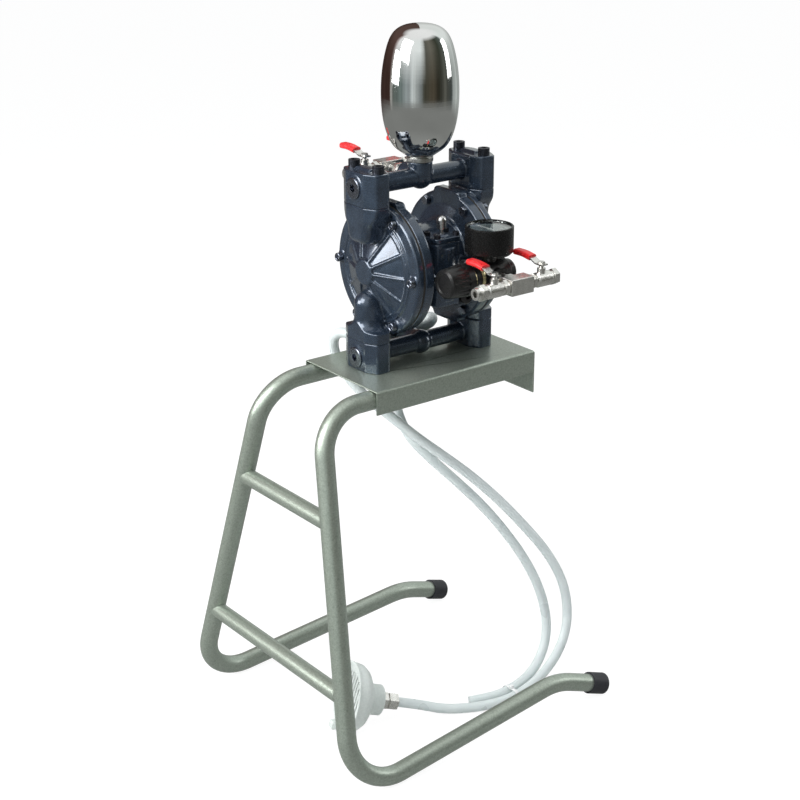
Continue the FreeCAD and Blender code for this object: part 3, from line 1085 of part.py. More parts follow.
def tie():
    """Band around both hoses where they lie side by side."""
    spots = [hose_spot(wire, num("tie_reach")) for wire in (suction, returned)]
    middle = (spots[0] + spots[1]) * 0.5
    half = (spots[1] - spots[0]).Length / 2
    lean = math.degrees(math.atan2(spots[1].z - spots[0].z, spots[1].y - spots[0].y))

    def slab(radius):
        width = num("tie_width")
        pill = Part.makeCylinder(radius, width, Vector(-width / 2, -half, 0), Vector(1, 0, 0))
        pill = pill.fuse(Part.makeCylinder(radius, width, Vector(-width / 2, half, 0), Vector(1, 0, 0)))
        return pill.fuse(Part.makeBox(width, 2 * half, 2 * radius, Vector(-width / 2, -half, -radius)))

    inner = num("hose_od / 2 + tie_gap")
    lock = Part.makeBox(num("tie_width + 1"), 4, 4, Vector(-num("tie_width + 1") / 2, -2, inner + 0.2))
    band = slab(inner + num("tie_wall")).fuse(lock).cut(slab(inner)).removeSplitter()
    band.Placement = Placement(middle, Rotation(Vector(1, 0, 0), lean))
    return band


keep(shaped(tie()), "hose_tie")

# Check everything, then write one file for each node

doc.recompute()
for thing in doc.Objects:
    if {"Invalid", "Error"} & set(thing.State):
        raise SystemExit(f"failed: {thing.Label} {thing.State}")
for label, thing in nodes.items():
    if thing.Shape.isNull() or not thing.Shape.isValid() or not thing.Shape.Solids:
        raise SystemExit(f"bad shape: {label}")

os.makedirs("parts", exist_ok=True)
for name in os.listdir("parts"):
    if name.endswith(".step") and name[:-5] not in nodes:
        os.remove(os.path.join("parts", name))
for label, thing in nodes.items():
    thing.Shape.exportStep(f"parts/{label}.step")
everything = Part.makeCompound([thing.Shape for thing in nodes.values()])
print(len(nodes), "nodes", everything.BoundBox)
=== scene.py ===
import math

import bmesh
import bpy
from mathutils import Matrix, Vector


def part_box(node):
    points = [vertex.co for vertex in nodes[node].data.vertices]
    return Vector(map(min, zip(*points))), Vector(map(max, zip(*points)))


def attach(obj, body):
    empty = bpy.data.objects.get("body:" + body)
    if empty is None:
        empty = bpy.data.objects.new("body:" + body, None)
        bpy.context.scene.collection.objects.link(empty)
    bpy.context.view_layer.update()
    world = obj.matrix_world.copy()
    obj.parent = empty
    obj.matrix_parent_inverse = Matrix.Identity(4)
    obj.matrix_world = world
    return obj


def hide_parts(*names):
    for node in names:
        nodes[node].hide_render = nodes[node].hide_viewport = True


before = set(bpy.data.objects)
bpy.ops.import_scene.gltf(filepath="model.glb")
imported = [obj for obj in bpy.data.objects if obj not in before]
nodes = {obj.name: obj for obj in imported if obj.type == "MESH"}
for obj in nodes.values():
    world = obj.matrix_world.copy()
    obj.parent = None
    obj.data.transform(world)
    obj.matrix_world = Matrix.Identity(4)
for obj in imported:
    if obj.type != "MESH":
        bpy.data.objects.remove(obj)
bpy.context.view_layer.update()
scene = bpy.context.scene

# Camera
# A short telephoto in front of the pump and to its left, a little above it,
# aimed slightly down, so that the whole stand fills the picture's height.
camera_place = Vector((-1.08488, -1.41834, 1.05558))
camera_forward = Vector((0.567723, 0.742229, -0.356072))
camera_up = Vector((0.218236, 0.281363, 0.934456))
sensor_width = 36
picture_width_pixels = 800
focal_length_pixels = 1680.44
camera_right = camera_forward.cross(camera_up).normalized()
camera_up = camera_right.cross(camera_forward).normalized()
camera = bpy.data.objects.new("camera", bpy.data.cameras.new("camera"))
camera.data.sensor_width = sensor_width
camera.data.lens = sensor_width * focal_length_pixels / picture_width_pixels
camera.data.clip_start = 0.05
camera.data.clip_end = 60
turn = Matrix((camera_right, camera_up, -camera_forward.normalized())).transposed()
camera.matrix_world = Matrix.Translation(camera_place) @ turn.to_4x4()
scene.collection.objects.link(camera)
scene.camera = camera

# Floor, studio and lamps
# A wide pale floor under a white room. Large soft boxes stand to the left, to the
# right and overhead. Only reflections show the room's dark walls and its windows.
scene.view_settings.view_transform = "Standard"


def node(tree, kind, **values):
    """One shader node; what isn't a setting of the node is the value of a socket."""
    made = tree.nodes.new(kind)
    for key, value in values.items():
        if key in made.bl_rna.properties:
            setattr(made, key, value)
        else:
            made.inputs[key.replace("_", " ")].default_value = value
    return made


def feed(tree, value, socket):
    """Brings a pattern or a shader to a socket, or else a plain number or colour."""
    if isinstance(value, bpy.types.NodeSocket):
        tree.links.new(value, socket)
    else:
        socket.default_value = value


def tint(tree, value, *stops):
    """A colour ramp over a pattern; each stop is a place and a colour."""
    made = node(tree, "ShaderNodeValToRGB")
    ramp = made.color_ramp
    while len(ramp.elements) < len(stops):
        ramp.elements.new(0.5)
    for element, (position, colour) in zip(ramp.elements, stops):
        element.position = position
        element.color = (*colour, 1)
    feed(tree, value, made.inputs[0])
    return made.outputs[0]


def between(tree, value, low, high, start=0.3, end=0.7):
    """A number that goes from low to high as a pattern goes from start to end."""
    made = node(tree, "ShaderNodeMapRange", From_Min=start, From_Max=end, To_Min=low, To_Max=high)
    feed(tree, value, made.inputs["Value"])
    return made.outputs[0]


def blended(tree, amount, low, high, kind="MIX"):
    """Two colours mixed by an amount."""
    made = node(tree, "ShaderNodeMixRGB", blend_type=kind)
    for value, socket in zip((amount, low, high), made.inputs):
        feed(tree, value, socket)
    return made.outputs[0]


def shaded(tree, amount, low, high):
    """Two shaders mixed by an amount."""
    made = node(tree, "ShaderNodeMixShader")
    for value, socket in zip((amount, low, high), made.inputs):
        feed(tree, value, socket)
    return made.outputs[0]


def kinds_of_ray(tree):
    """1 for rays from the camera or through glass, and 1 for rays off metal or gloss."""
    path = node(tree, "ShaderNodeLightPath")
    straight = node(tree, "ShaderNodeMath", operation="MAXIMUM")
    feed(tree, path.outputs["Is Camera Ray"], straight.inputs[0])
    feed(tree, path.outputs["Is Transmission Ray"], straight.inputs[1])
    return straight.outputs[0], path.outputs["Is Glossy Ray"]


room = bpy.data.worlds.new("white_room")
scene.world = room
room.use_nodes = True
tree = room.node_tree
tree.nodes.clear()
straight, mirrored = kinds_of_ray(tree)
direction = node(tree, "ShaderNodeTexCoord").outputs["Generated"]
faced = node(tree, "ShaderNodeMapping", Rotation=(0, 0, math.radians(127.4)))
feed(tree, direction, faced.inputs["Vector"])
around = node(tree, "ShaderNodeTexGradient", gradient_type="RADIAL")
feed(tree, faced.outputs[0], around.inputs["Vector"])
bearing = around.outputs["Fac"]
walls = tint(tree, bearing,
             (0.0, (0.06, 0.036, 0.03)), (0.22, (0.07, 0.038, 0.03)), (0.235, (0.75, 0.74, 0.7)),
             (0.26, (0.17, 0.2, 0.18)), (0.34, (0.2, 0.25, 0.24)), (0.4, (0.55, 0.61, 0.62)),
             (0.45, (0.72, 0.77, 0.76)), (0.5, (0.3, 0.33, 0.33)), (0.53, (0.08, 0.08, 0.06)),
             (0.6, (0.12, 0.1, 0.07)), (0.66, (0.035, 0.035, 0.025)), (0.72, (0.13, 0.13, 0.11)),
             (0.79, (0.07, 0.085, 0.08)), (0.82, (0.6, 0.65, 0.63)), (1.0, (0.5, 0.52, 0.5)))
windows = tint(tree, bearing,
               (0.0, (0.1, 0.065, 0.055)), (0.2, (0.12, 0.07, 0.06)), (0.225, (0.5, 0.42, 0.41)),
               (0.25, (1, 1, 1)), (0.5, (0.95, 1, 0.99)), (0.53, (0.6, 0.62, 0.6)),
               (0.55, (0.12, 0.12, 0.1)), (0.6, (0.17, 0.16, 0.13)), (0.68, (0.045, 0.05, 0.035)),
               (0.75, (0.1, 0.12, 0.11)), (0.78, (0.9, 0.95, 0.93)), (1.0, (0.85, 0.88, 0.86)))
swept = node(tree, "ShaderNodeCombineXYZ")
feed(tree, bearing, swept.inputs[0])
streaks = node(tree, "ShaderNodeTexNoise", Scale=26, Detail=2)
feed(tree, swept.outputs[0], streaks.inputs["Vector"])
veil = tint(tree, streaks.outputs["Fac"], (0.35, (0.55, 0.55, 0.55)), (0.65, (1, 1, 1)))
streaked_walls = blended(tree, 1, walls, veil, "MULTIPLY")
split = node(tree, "ShaderNodeSeparateXYZ")
feed(tree, direction, split.inputs[0])
height = split.outputs["Z"]
above_walls = between(tree, height, 0, 1, -0.04, 0.42)
open_ceiling = between(tree, height, 0, 1, 0.72, 0.9)
seen_room = blended(tree, open_ceiling, blended(tree, above_walls, streaked_walls, windows), (1, 1, 1, 1))
reflected = node(tree, "ShaderNodeBackground", Strength=1)
feed(tree, seen_room, reflected.inputs["Color"])
ambient = node(tree, "ShaderNodeBackground", Color=(0.93, 0.97, 1, 1), Strength=0.34)
white = node(tree, "ShaderNodeBackground", Color=(1, 1, 1, 1), Strength=1)
unreflected = shaded(tree, straight, ambient.outputs[0], white.outputs[0])
whole_room = shaded(tree, mirrored, unreflected, reflected.outputs[0])
feed(tree, whole_room, node(tree, "ShaderNodeOutputWorld").inputs[0])

paper = bpy.data.materials.new("floor_paper")
paper.use_nodes = True
tree = paper.node_tree
tree.nodes.clear()
straight, mirrored = kinds_of_ray(tree)
matt = node(tree, "ShaderNodeBsdfDiffuse", Color=(0.8, 0.8, 0.8, 1))
shadow = node(tree, "ShaderNodeBsdfDiffuse", Color=(0.16, 0.16, 0.16, 1))
glow = node(tree, "ShaderNodeEmission", Color=(1, 1, 1, 1), Strength=0.93)
seen = node(tree, "ShaderNodeAddShader")
feed(tree, shadow.outputs[0], seen.inputs[0])
feed(tree, glow.outputs[0], seen.inputs[1])
# Rays off metal or gloss don't see the lit floor. They see a glowing grey that is a little darker further
# out and turns clear far away. This is a painted reflection of the floor, with painted shade across it.
distance = node(tree, "ShaderNodeVectorMath", operation="LENGTH")
feed(tree, node(tree, "ShaderNodeTexCoord").outputs["Object"], distance.inputs[0])
away = distance.outputs["Value"]
painted_floor_glow = node(tree, "ShaderNodeEmission", Strength=1)
feed(tree, tint(tree, away, (0.1, (0.34, 0.35, 0.34)), (1.0, (0.24, 0.245, 0.235))), painted_floor_glow.inputs["Color"])
clear = node(tree, "ShaderNodeBsdfTransparent")
painted_floor_reflection = shaded(tree, between(tree, away, 0, 1, 2.3, 3.6), painted_floor_glow.outputs[0], clear.outputs[0])
in_picture = shaded(tree, straight, matt.outputs[0], seen.outputs[0])
feed(tree, shaded(tree, mirrored, in_picture, painted_floor_reflection), node(tree, "ShaderNodeOutputMaterial").inputs[0])


def piece_from(name, mesh, material):
    """A new object holding a bmesh, with its material."""
    data = bpy.data.meshes.new(name)
    mesh.to_mesh(data)
    mesh.free()
    data.materials.append(material)
    made = bpy.data.objects.new(name, data)
    scene.collection.objects.link(made)
    return made


floor_reach = 30
floor_below_feet = 0.0004
mesh = bmesh.new()
bmesh.ops.create_grid(mesh, x_segments=1, y_segments=1, size=floor_reach,
                      matrix=Matrix.Translation((0, 0, -floor_below_feet)))
piece_from("floor", mesh, paper)


def soft_box(name, place, aimed_height, size, watts, shows_in_metal=True):
    """A flat lamp aimed at a point above the middle of the stand's foot."""
    lamp = bpy.data.lights.new(name, "AREA")
    lamp.shape = "RECTANGLE"
    lamp.size, lamp.size_y = size
    lamp.energy = watts
    made = bpy.data.objects.new(name, lamp)
    made.location = place
    made.rotation_euler = (Vector((0, 0, aimed_height)) - Vector(place)).to_track_quat("-Z", "Y").to_euler()
    made.visible_glossy = shows_in_metal
    scene.collection.objects.link(made)


soft_box("left_box", (-1.8, 0.05, 1.75), 0.5, (1.3, 1.3), 36)
soft_box("low_left_box", (-1.8, 0.89, 0.95), 0.55, (0.9, 0.7), 20)
soft_box("right_box", (1.9, -1.1, 1.3), 0.45, (0.7, 1.4), 9)
soft_box("top_box", (-0.4, -0.6, 2.5), 0.4, (1.5, 1.5), 20, shows_in_metal=False)
soft_box("back_box", (0.9, 1.9, 1.5), 0.4, (1.2, 1.2), 10, shows_in_metal=False)


# Stand: bent tube frames, crossbars and pump plate
# Steel tube bent on a mandrel, sheet steel folded for the plate, all welded, then
# sprayed with a grey-green enamel that dries in a fine hammered pattern.
class Finish:
    """One Principled material, with patterns laid over its piece's own place in metres."""

    def __init__(self, name, **sockets):
        self.material = bpy.data.materials.new(name)
        self.material.use_nodes = True
        self.tree = self.material.node_tree
        self.shader = self.tree.nodes["Principled BSDF"]
        for key, value in sockets.items():
            self.shader.inputs[key.replace("_", " ")].default_value = value
        self.place = node(self.tree, "ShaderNodeTexCoord").outputs["Object"]
        self.bump = None

    def grain(self, scale, detail, stretch=None):
        """Fractal noise over the piece, which may be stretched along an axis."""
        place = self.place
        if stretch:
            drawn = node(self.tree, "ShaderNodeMapping", Scale=stretch)
            feed(self.tree, place, drawn.inputs["Vector"])
            place = drawn.outputs[0]
        made = node(self.tree, "ShaderNodeTexNoise", Scale=scale, Detail=detail)
        feed(self.tree, place, made.inputs["Vector"])
        return made.outputs["Fac"]

    def cells(self, scale, place=None):
        """Round cells, as hammered paint or sintered metal has them."""
        made = node(self.tree, "ShaderNodeTexVoronoi", feature="SMOOTH_F1", Scale=scale)
        feed(self.tree, place or self.place, made.inputs["Vector"])
        return made.outputs["Distance"]

    def colour(self, pattern, first, last, start=0.3, end=0.7):
        """Two shades of the piece's colour, over a pattern."""
        shades = tint(self.tree, pattern, (start, first), (end, last))
        feed(self.tree, shades, self.shader.inputs["Base Color"])

    def roughness(self, pattern, low, high):
        """How dull the piece is, over a pattern."""
        feed(self.tree, between(self.tree, pattern, low, high), self.shader.inputs["Roughness"])

    def relief(self, pattern, depth, strength):
        """Bump of a real depth in metres, laid on what bump is there already."""
        made = node(self.tree, "ShaderNodeBump", Distance=depth, Strength=strength)
        feed(self.tree, pattern, made.inputs["Height"])
        if self.bump:
            feed(self.tree, self.bump, made.inputs["Normal"])
        self.bump = made.outputs[0]
        feed(self.tree, self.bump, self.shader.inputs["Normal"])


def wear(finish, *names):
    """Puts a finish on CAD nodes."""
    for name in names:
        mesh = nodes[name].data
        mesh.materials.clear()
        mesh.materials.append(finish.material)


def merged(name):
    """Joins the loose triangles of a CAD node, so that its edges can be worked."""
    weld = nodes[name].modifiers.new("merge", "WELD")
    weld.merge_threshold = 0.00002
    return nodes[name].modifiers


def broken_edges(width, *names, segments=2):
    """Small rounded edges on machined, pressed or folded pieces."""
    for name in names:
        worked = merged(name)
        edge = worked.new("edge", "BEVEL")
        edge.width = width
        edge.segments = segments
        edge.limit_method = "ANGLE"
        edge.angle_limit = math.radians(35)
        worked.new("fair", "WEIGHTED_NORMAL")


enamel = Finish("hammered_enamel", Metallic=0.72, Coat_Weight=0.35, Coat_Roughness=0.18)
ripple = node(enamel.tree, "ShaderNodeTexNoise", Scale=900, Detail=2)
feed(enamel.tree, enamel.place, ripple.inputs["Vector"])
spots = enamel.cells(620, blended(enamel.tree, 0.004, enamel.place, ripple.outputs["Color"], "ADD"))
mottle = enamel.grain(700, 2)
enamel.colour(spots, (0.45, 0.505, 0.44), (0.3, 0.345, 0.292), 0.1, 0.75)
enamel.roughness(mottle, 0.34, 0.5)
enamel.relief(mottle, 0.0001, 0.3)
enamel.relief(spots, 0.0002, 0.3)
broken_edges(0.0008, "mounting_plate")
wear(enamel, "near_side_frame", "far_side_frame", "leg_crossbars", "mounting_plate")

# Foot caps
# Moulded rubber cups pushed over the two toes, dull black with a slight sheen
# where they are handled.
rubber = Finish("foot_rubber", Specular_IOR_Level=0.35)
speck = rubber.grain(900, 4)
rubber.colour(speck, (0.018, 0.018, 0.022), (0.035, 0.035, 0.042))
rubber.roughness(speck, 0.42, 0.62)
rubber.relief(speck, 0.0002, 0.4)
broken_edges(0.0012, "foot_caps", segments=3)
wear(rubber, "foot_caps")

# Pump castings
# Cast aluminium covers, air chambers, centre body, valve block and manifolds. A
# dark blue metallic gloss lies over the sand skin, and mould and paint leave each
# edge soft, which a close voxel grid and a few smoothing passes give.
navy = Finish("navy_gloss", Metallic=0.5, Coat_Weight=1.0, Coat_Roughness=0.07)
skin = navy.grain(70, 4)
fine = navy.grain(1400, 2)
navy.colour(skin, (0.026, 0.041, 0.066), (0.042, 0.064, 0.099))
navy.roughness(fine, 0.2, 0.34)
navy.relief(skin, 0.001, 0.25)
navy.relief(fine, 0.00006, 0.2)
grid_and_passes = {
    "near_fluid_cover": (0.0009, 4),
    "far_fluid_cover": (0.0009, 4),
    "air_chambers": (0.0012, 3),
    "center_body": (0.0009, 3),
    "upper_manifold": (0.0009, 3),
    "lower_manifold": (0.0009, 3),
    "air_valve_housing": (0.0009, 3),
    "air_valve_cap": (0.0009, 3),
}
for name, (grid, passes) in grid_and_passes.items():
    worked = merged(name)
    cast = worked.new("skin", "REMESH")
    cast.mode = "VOXEL"
    cast.voxel_size = grid
    cast.use_smooth_shade = True
    rub = worked.new("rub", "SMOOTH")
    rub.factor = 0.5
    rub.iterations = passes
    wear(navy, name)

# Diaphragms
# Two discs of cloth-reinforced rubber, of which only the rim shows, clamped
# between each fluid cover and its air chamber.
sheet_rubber = Finish("diaphragm_rubber", Specular_IOR_Level=0.3)
speck = sheet_rubber.grain(1200, 3)
sheet_rubber.colour(speck, (0.02, 0.018, 0.016), (0.04, 0.036, 0.032))
sheet_rubber.roughness(speck, 0.5, 0.7)
wear(sheet_rubber, "near_diaphragm", "far_diaphragm")

# Black screws
# Socket screws in black oxide steel hold the manifolds, the air valve's cap and
# the pump's feet.
black_oxide = Finish("black_oxide", Metallic=0.9)
speck = black_oxide.grain(800, 4)
black_oxide.colour(speck, (0.03, 0.033, 0.042), (0.065, 0.07, 0.085))
black_oxide.roughness(speck, 0.28, 0.5)
black_oxide.relief(speck, 0.0001, 0.3)
black_screws = ("manifold_bolts", "pump_mounting_bolts", "air_valve_screws")
broken_edges(0.0004, *black_screws)
wear(black_oxide, *black_screws)

# Cover bolts and port plugs
# The screws round both fluid covers and the threaded plugs in the four spare
# ports, turned from steel and blued, so they shine more than the black screws.
blued = Finish("blued_steel", Metallic=1.0, Coat_Weight=0.5, Coat_Roughness=0.06)
speck = blued.grain(600, 4)
blued.colour(speck, (0.15, 0.17, 0.21), (0.24, 0.26, 0.31))
blued.roughness(speck, 0.16, 0.3)
blued.relief(speck, 0.0001, 0.25)
broken_edges(0.0008, "cover_bolts", segments=3)
broken_edges(0.0011, "port_plugs", segments=3)
wear(blued, "cover_bolts", "port_plugs")

# Turned steel pieces
# Shaft, clamp plates, spool, seats, balls and the reset pin: ground stainless
# steel with fine turning marks.
ground = Finish("ground_steel", Metallic=1.0)
marks = ground.grain(500, 4)
ground.colour(marks, (0.5, 0.5, 0.5), (0.68, 0.68, 0.68))
ground.roughness(marks, 0.18, 0.34)
ground.relief(marks, 0.00005, 0.2)
wear(ground, "diaphragm_shaft", "inner_diaphragm_plates", "outer_diaphragm_plates", "air_valve_spool",
     "reset_pin", "ball_seats", "near_inlet_ball", "far_inlet_ball", "near_outlet_ball", "far_outlet_ball")

# Shaft bushes
# Two plain bushes of sintered bronze, porous and dull, pressed into the centre
# body for the shaft to slide in.
bronze = Finish("sintered_bronze", Metallic=1.0)
pores = bronze.cells(1500)
bronze.colour(pores, (0.2, 0.12, 0.05), (0.5, 0.34, 0.17), 0.1)
bronze.roughness(pores, 0.6, 0.42)
bronze.relief(pores, 0.0004, 0.6)
wear(bronze, "shaft_bushes")

# Nickel fittings
# Forged and machined brass with bright nickel plating: nipples, tees, ball valve
# bodies, levers, the hose tee and the strainer's fitting.
nickel = Finish("nickel_plate", Metallic=1.0)
haze = nickel.grain(160, 5)
scratch = nickel.grain(900, 3, stretch=(1, 6, 6))
nickel.colour(haze, (0.68, 0.67, 0.64), (0.84, 0.83, 0.8))
nickel.roughness(scratch, 0.2, 0.36)
nickel.relief(haze, 0.0003, 0.25)
nickel.relief(scratch, 0.00006, 0.3)
fittings = ("regulator_nipples", "front_tee", "rear_tee", "front_valve_bodies", "rear_valve_bodies",
            "front_left_lever", "front_right_lever", "rear_left_lever", "rear_right_lever",
            "inlet_hose_tee", "strainer_fitting")
broken_edges(0.0004, *fittings)
wear(nickel, *fittings)

# Valve lever grips
# The ends of the four levers are dipped in red vinyl, which leaves a thick soft
# skin with rounded ends.
vinyl = Finish("red_vinyl", Subsurface_Weight=0.08, Subsurface_Radius=(0.004, 0.001, 0.001))
pool = vinyl.grain(220, 3)
vinyl.colour(pool, (0.72, 0.02, 0.022), (0.84, 0.04, 0.045))
vinyl.roughness(pool, 0.26, 0.4)
vinyl.relief(pool, 0.0004, 0.3)
grips = ("front_left_grip", "front_right_grip", "rear_left_grip", "rear_right_grip")
broken_edges(0.0007, *grips, segments=3)
wear(vinyl, *grips)

# Regulator body, its knob and the exhaust muffler
# Three black mouldings: the regulator's body, the fluted knob that turns on its
# neck, and the muffler screwed in below the air inlet.
moulded = Finish("black_moulding", Coat_Weight=0.2, Coat_Roughness=0.16, Specular_IOR_Level=0.34)
speck = moulded.grain(1000, 3)
moulded.colour(speck, (0.006, 0.006, 0.006), (0.012, 0.012, 0.0125))
moulded.roughness(speck, 0.24, 0.42)
moulded.relief(speck, 0.0001, 0.25)
mouldings = ("regulator_knob", "regulator_body", "exhaust_muffler")
broken_edges(0.0005, *mouldings)
wear(moulded, *mouldings)

# Regulator rings
# Two rings of bare brass on the regulator's neck, turned, so fine marks run
# round them.
brass = Finish("turned_brass", Metallic=1.0)
rings = brass.grain(300, 3, stretch=(8, 1, 1))
brass.colour(rings, (0.72, 0.62, 0.32), (0.86, 0.78, 0.5))
brass.roughness(rings, 0.2, 0.34)
brass.relief(rings, 0.00006, 0.3)
broken_edges(0.0006, "regulator_rings")
wear(brass, "regulator_rings")

# Pressure gauge
# A black pressed case that faces up, a dark dial printed with pale strokes and
# numbers, a pale pointer over it, and a clear flat lens on top.
pressed = Finish("black_case", Specular_IOR_Level=0.26)
speck = pressed.grain(500, 3)
pressed.colour(speck, (0.004, 0.004, 0.004), (0.009, 0.009, 0.009))
pressed.roughness(speck, 0.2, 0.32)
pressed.relief(speck, 0.00004, 0.08)
broken_edges(0.0006, "gauge_case", segments=3)
wear(pressed, "gauge_case")

printed = Finish("dial_print", Roughness=0.5)
printed.colour(printed.grain(900, 2), (0.09, 0.12, 0.125), (0.11, 0.145, 0.15))
wear(printed, "gauge_dial")

ink = Finish("dial_ink", Roughness=0.5)
ink.colour(ink.grain(900, 2), (0.78, 0.79, 0.78), (0.86, 0.87, 0.86))
wear(ink, "gauge_needle")

lens = Finish("clear_lens", Transmission_Weight=1.0, IOR=1.45)
speck = lens.grain(300, 2)
lens.colour(speck, (0.93, 0.96, 0.95), (0.97, 0.99, 0.98))
lens.roughness(speck, 0.02, 0.06)
wear(lens, "gauge_lens")

case_low, case_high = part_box("gauge_case")
under_needle = 0.0005
dial_middle = (case_low + case_high) / 2
dial_middle.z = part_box("gauge_needle")[0].z - under_needle
scale_top = 10
scale_start = math.radians(90)
scale_sweep = math.radians(270)
strokes = 50
stroke_ring = 0.0208
stroke_height = 0.00012
even_length, odd_length, short_length = 0.0036, 0.0026, 0.0015
bold_width, fine_width = 0.0006, 0.00035
number_ring = 0.0138
number_size = 0.0052
number_half_height = 0.00006
number_turn = math.radians(-135)


def dial_strokes():
    """Thin raised strokes round the dial, longest at each even number."""
    mesh = bmesh.new()
    for count in range(strokes + 1):
        at_even_number = count % 10 == 0
        at_odd_number = count % 10 == 5
        length = even_length if at_even_number else odd_length if at_odd_number else short_length
        width = bold_width if at_even_number else fine_width
        bearing = scale_start - scale_sweep * count / strokes
        outwards = Matrix.Translation((stroke_ring - length / 2, 0, 0))
        size = Matrix.Diagonal((length, width, stroke_height, 1))
        placed = Matrix.Translation(dial_middle) @ Matrix.Rotation(bearing, 4, "Z") @ outwards @ size
        bmesh.ops.create_cube(mesh, size=1, matrix=placed)
    return piece_from("dial_marks", mesh, ink.material)


def dial_number(number):
    """One number, made a mesh and then put in its place on the dial."""
    text = bpy.data.curves.new(f"dial_number_{number}", "FONT")
    text.body = str(number)
    text.size = number_size
    text.align_x = "CENTER"
    text.align_y = "CENTER"
    text.extrude = number_half_height
    written = bpy.data.objects.new("writing", text)
    scene.collection.objects.link(written)
    bpy.context.view_layer.update()
    flat = bpy.data.meshes.new_from_object(written.evaluated_get(bpy.context.evaluated_depsgraph_get()))
    bpy.data.objects.remove(written)
    bearing = scale_start - scale_sweep * number / scale_top
    spot = dial_middle + Vector((number_ring * math.cos(bearing), number_ring * math.sin(bearing), 0))
    flat.transform(Matrix.Translation(spot) @ Matrix.Rotation(number_turn, 4, "Z"))
    flat.materials.clear()
    flat.materials.append(ink.material)
    made = bpy.data.objects.new(f"dial_number_{number}", flat)
    scene.collection.objects.link(made)
    return made


for print_on_dial in [dial_strokes(), *(dial_number(number) for number in range(0, scale_top + 1, 2))]:
    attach(print_on_dial, "stand_and_pump")

# Surge tank
# A stainless bottle spun from sheet and polished to a mirror. Faint spinning
# marks run round it, and the sheet is very slightly uneven.
mirror = Finish("mirror_steel", Metallic=1.0)
clouds = mirror.grain(26, 2)
spin_marks = mirror.grain(90, 4, stretch=(1, 1, 14))
mirror.colour(clouds, (0.68, 0.69, 0.68), (0.76, 0.77, 0.76))
mirror.roughness(spin_marks, 0.035, 0.075)
mirror.relief(clouds, 0.0006, 0.08)
mirror.relief(spin_marks, 0.00006, 0.05)
wear(mirror, "surge_tank")

# Tank collar
# A turned steel ring between the tank's neck and the upper manifold's middle
# boss, left as it comes off the lathe.
turned_steel = Finish("turned_collar", Metallic=1.0)
rings = turned_steel.grain(260, 3, stretch=(1, 1, 9))
turned_steel.colour(rings, (0.4, 0.4, 0.39), (0.56, 0.56, 0.54))
turned_steel.roughness(rings, 0.24, 0.4)
turned_steel.relief(rings, 0.0001, 0.3)
broken_edges(0.0005, "tank_collar")
wear(turned_steel, "tank_collar")

# Foot strainer
# A white moulded bell with a threaded collar and a slotted plate in its mouth.
# A small rounded lug of the same moulding stands on its rim.
bell = Finish("strainer_plastic", Subsurface_Weight=0.1, Subsurface_Radius=(1, 1, 1), Subsurface_Scale=0.004)
speck = bell.grain(350, 4)
bell.colour(speck, (0.66, 0.71, 0.685), (0.74, 0.79, 0.76))
bell.roughness(speck, 0.34, 0.5)
bell.relief(speck, 0.0002, 0.25)
broken_edges(0.0006, "foot_strainer")
wear(bell, "foot_strainer")

lug_from_corner = Vector((0.00427, 0.04552, 0.0061))
lug_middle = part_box("foot_strainer")[0] + lug_from_corner
lug_size = (0.0125, 0.0105, 0.0105)
lug_yaw = math.radians(-20)
lug_tilt = math.radians(12)
lug_round = 0.0024
mesh = bmesh.new()
bmesh.ops.create_cube(mesh, size=1, matrix=Matrix.Translation(lug_middle) @ Matrix.Rotation(lug_yaw, 4, "Z")
                      @ Matrix.Rotation(lug_tilt, 4, "Y") @ Matrix.Diagonal((*lug_size, 1)))
bmesh.ops.bevel(mesh, geom=mesh.edges[:], offset=lug_round, segments=4, profile=0.5, affect="EDGES",
                material=-1)
for face in mesh.faces:
    face.smooth = True
strainer_lug = piece_from("strainer_lug", mesh, bell.material)
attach(strainer_lug, "stand_and_pump")

# Hose tie
# A band of white nylon drawn tight round both hoses where they lie on the
# floor, so that the return hose stays beside the suction hose.
nylon = Finish("white_nylon", Subsurface_Weight=0.15, Subsurface_Radius=(1, 1, 1), Subsurface_Scale=0.002)
speck = nylon.grain(900, 2)
nylon.colour(speck, (0.8, 0.82, 0.82), (0.9, 0.91, 0.91))
nylon.roughness(speck, 0.3, 0.45)
broken_edges(0.0003, "hose_tie")
wear(nylon, "hose_tie")

# Suction and return hoses
# Milky clear tubing, 11.5 mm outside, pushed on the hose tee. The suction hose
# ends in the strainer's fitting, the return hose lies beside it with a cut end.
milky = Finish("milky_tubing", Transmission_Weight=0.1, IOR=1.35, Specular_IOR_Level=0.5,
               Subsurface_Weight=0.3, Subsurface_Radius=(1, 1, 1), Subsurface_Scale=0.004)
cloud = milky.grain(34, 2)
milky.colour(cloud, (0.73, 0.795, 0.795), (0.79, 0.85, 0.845))
milky.roughness(cloud, 0.26, 0.36)
milky.relief(cloud, 0.0004, 0.06)

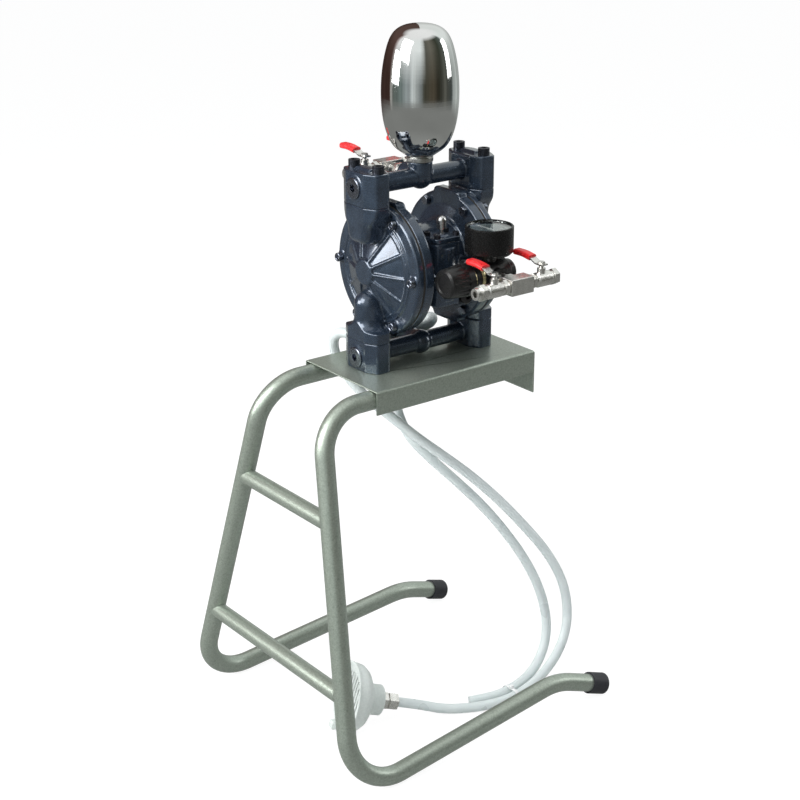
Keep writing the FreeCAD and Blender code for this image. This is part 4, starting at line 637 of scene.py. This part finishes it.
hose_radius = 0.00575
suction_route = [
    (12.84, 44, 437.5), (-9.56, 44, 437.5), (-25.56, 54, 444), (-31.56, 72, 445), (-29.56, 88, 432),
    (-21.56, 97, 410), (-10.56, 93, 383), (4.44, 70, 355), (20.44, 42, 336), (37.44, 14, 314),
    (60.44, -8, 292), (88.44, -26, 265), (120.44, -42, 229), (149.44, -54, 192), (177.44, -61, 155),
    (196.44, -69, 117), (202.44, -75, 82), (195.44, -82, 50), (174.44, -89, 26), (142.44, -97, 12),
    (109.44, -105, 7.8), (78.44, -109, 7.3), (50.44, -103, 6.6), (25.44, -91, 6), (2.44, -77, 7),
    (-19.53, -61.22, 13.8), (-45.05, -51.93, 22.1),
]
return_route = [
    (52.84, 44, 437.5), (74.44, 44, 437.5), (92, 54, 440), (100, 72, 438), (98, 88, 424),
    (88, 96, 404), (72, 96, 382), (55, 84, 358), (42, 62, 335), (38.44, 36, 311), (52.44, 13, 287),
    (76.44, -8, 258), (103.44, -25, 225), (127.44, -38, 190), (149.44, -49, 153), (168.44, -57, 112),
    (178.44, -62, 73), (176.44, -67, 43), (161.44, -74, 21), (134.44, -84, 9.5), (101.44, -92, 7.5),
    (70.44, -94.5, 7.2), (40.44, -82, 6),
]


def hose(name, route, replaced):
    """A bevelled spline through the hose's own points, in millimetres."""
    curve = bpy.data.curves.new(name, "CURVE")
    curve.dimensions = "3D"
    spline = curve.splines.new("NURBS")
    spline.points.add(len(route) - 1)
    for point, (x, y, z) in zip(spline.points, route):
        point.co = (x / 1000, y / 1000, z / 1000, 1)
    spline.order_u = 3
    spline.use_endpoint_u = True
    spline.resolution_u = 10
    curve.bevel_depth = hose_radius
    curve.bevel_resolution = 6
    curve.use_fill_caps = True
    curve.materials.append(milky.material)
    made = bpy.data.objects.new(name, curve)
    scene.collection.objects.link(made)
    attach(made, "stand_and_pump")
    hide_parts(replaced)
    return made


suction_hose = hose("suction_tubing", suction_route, "suction_hose")
return_hose = hose("return_tubing", return_route, "return_hose")
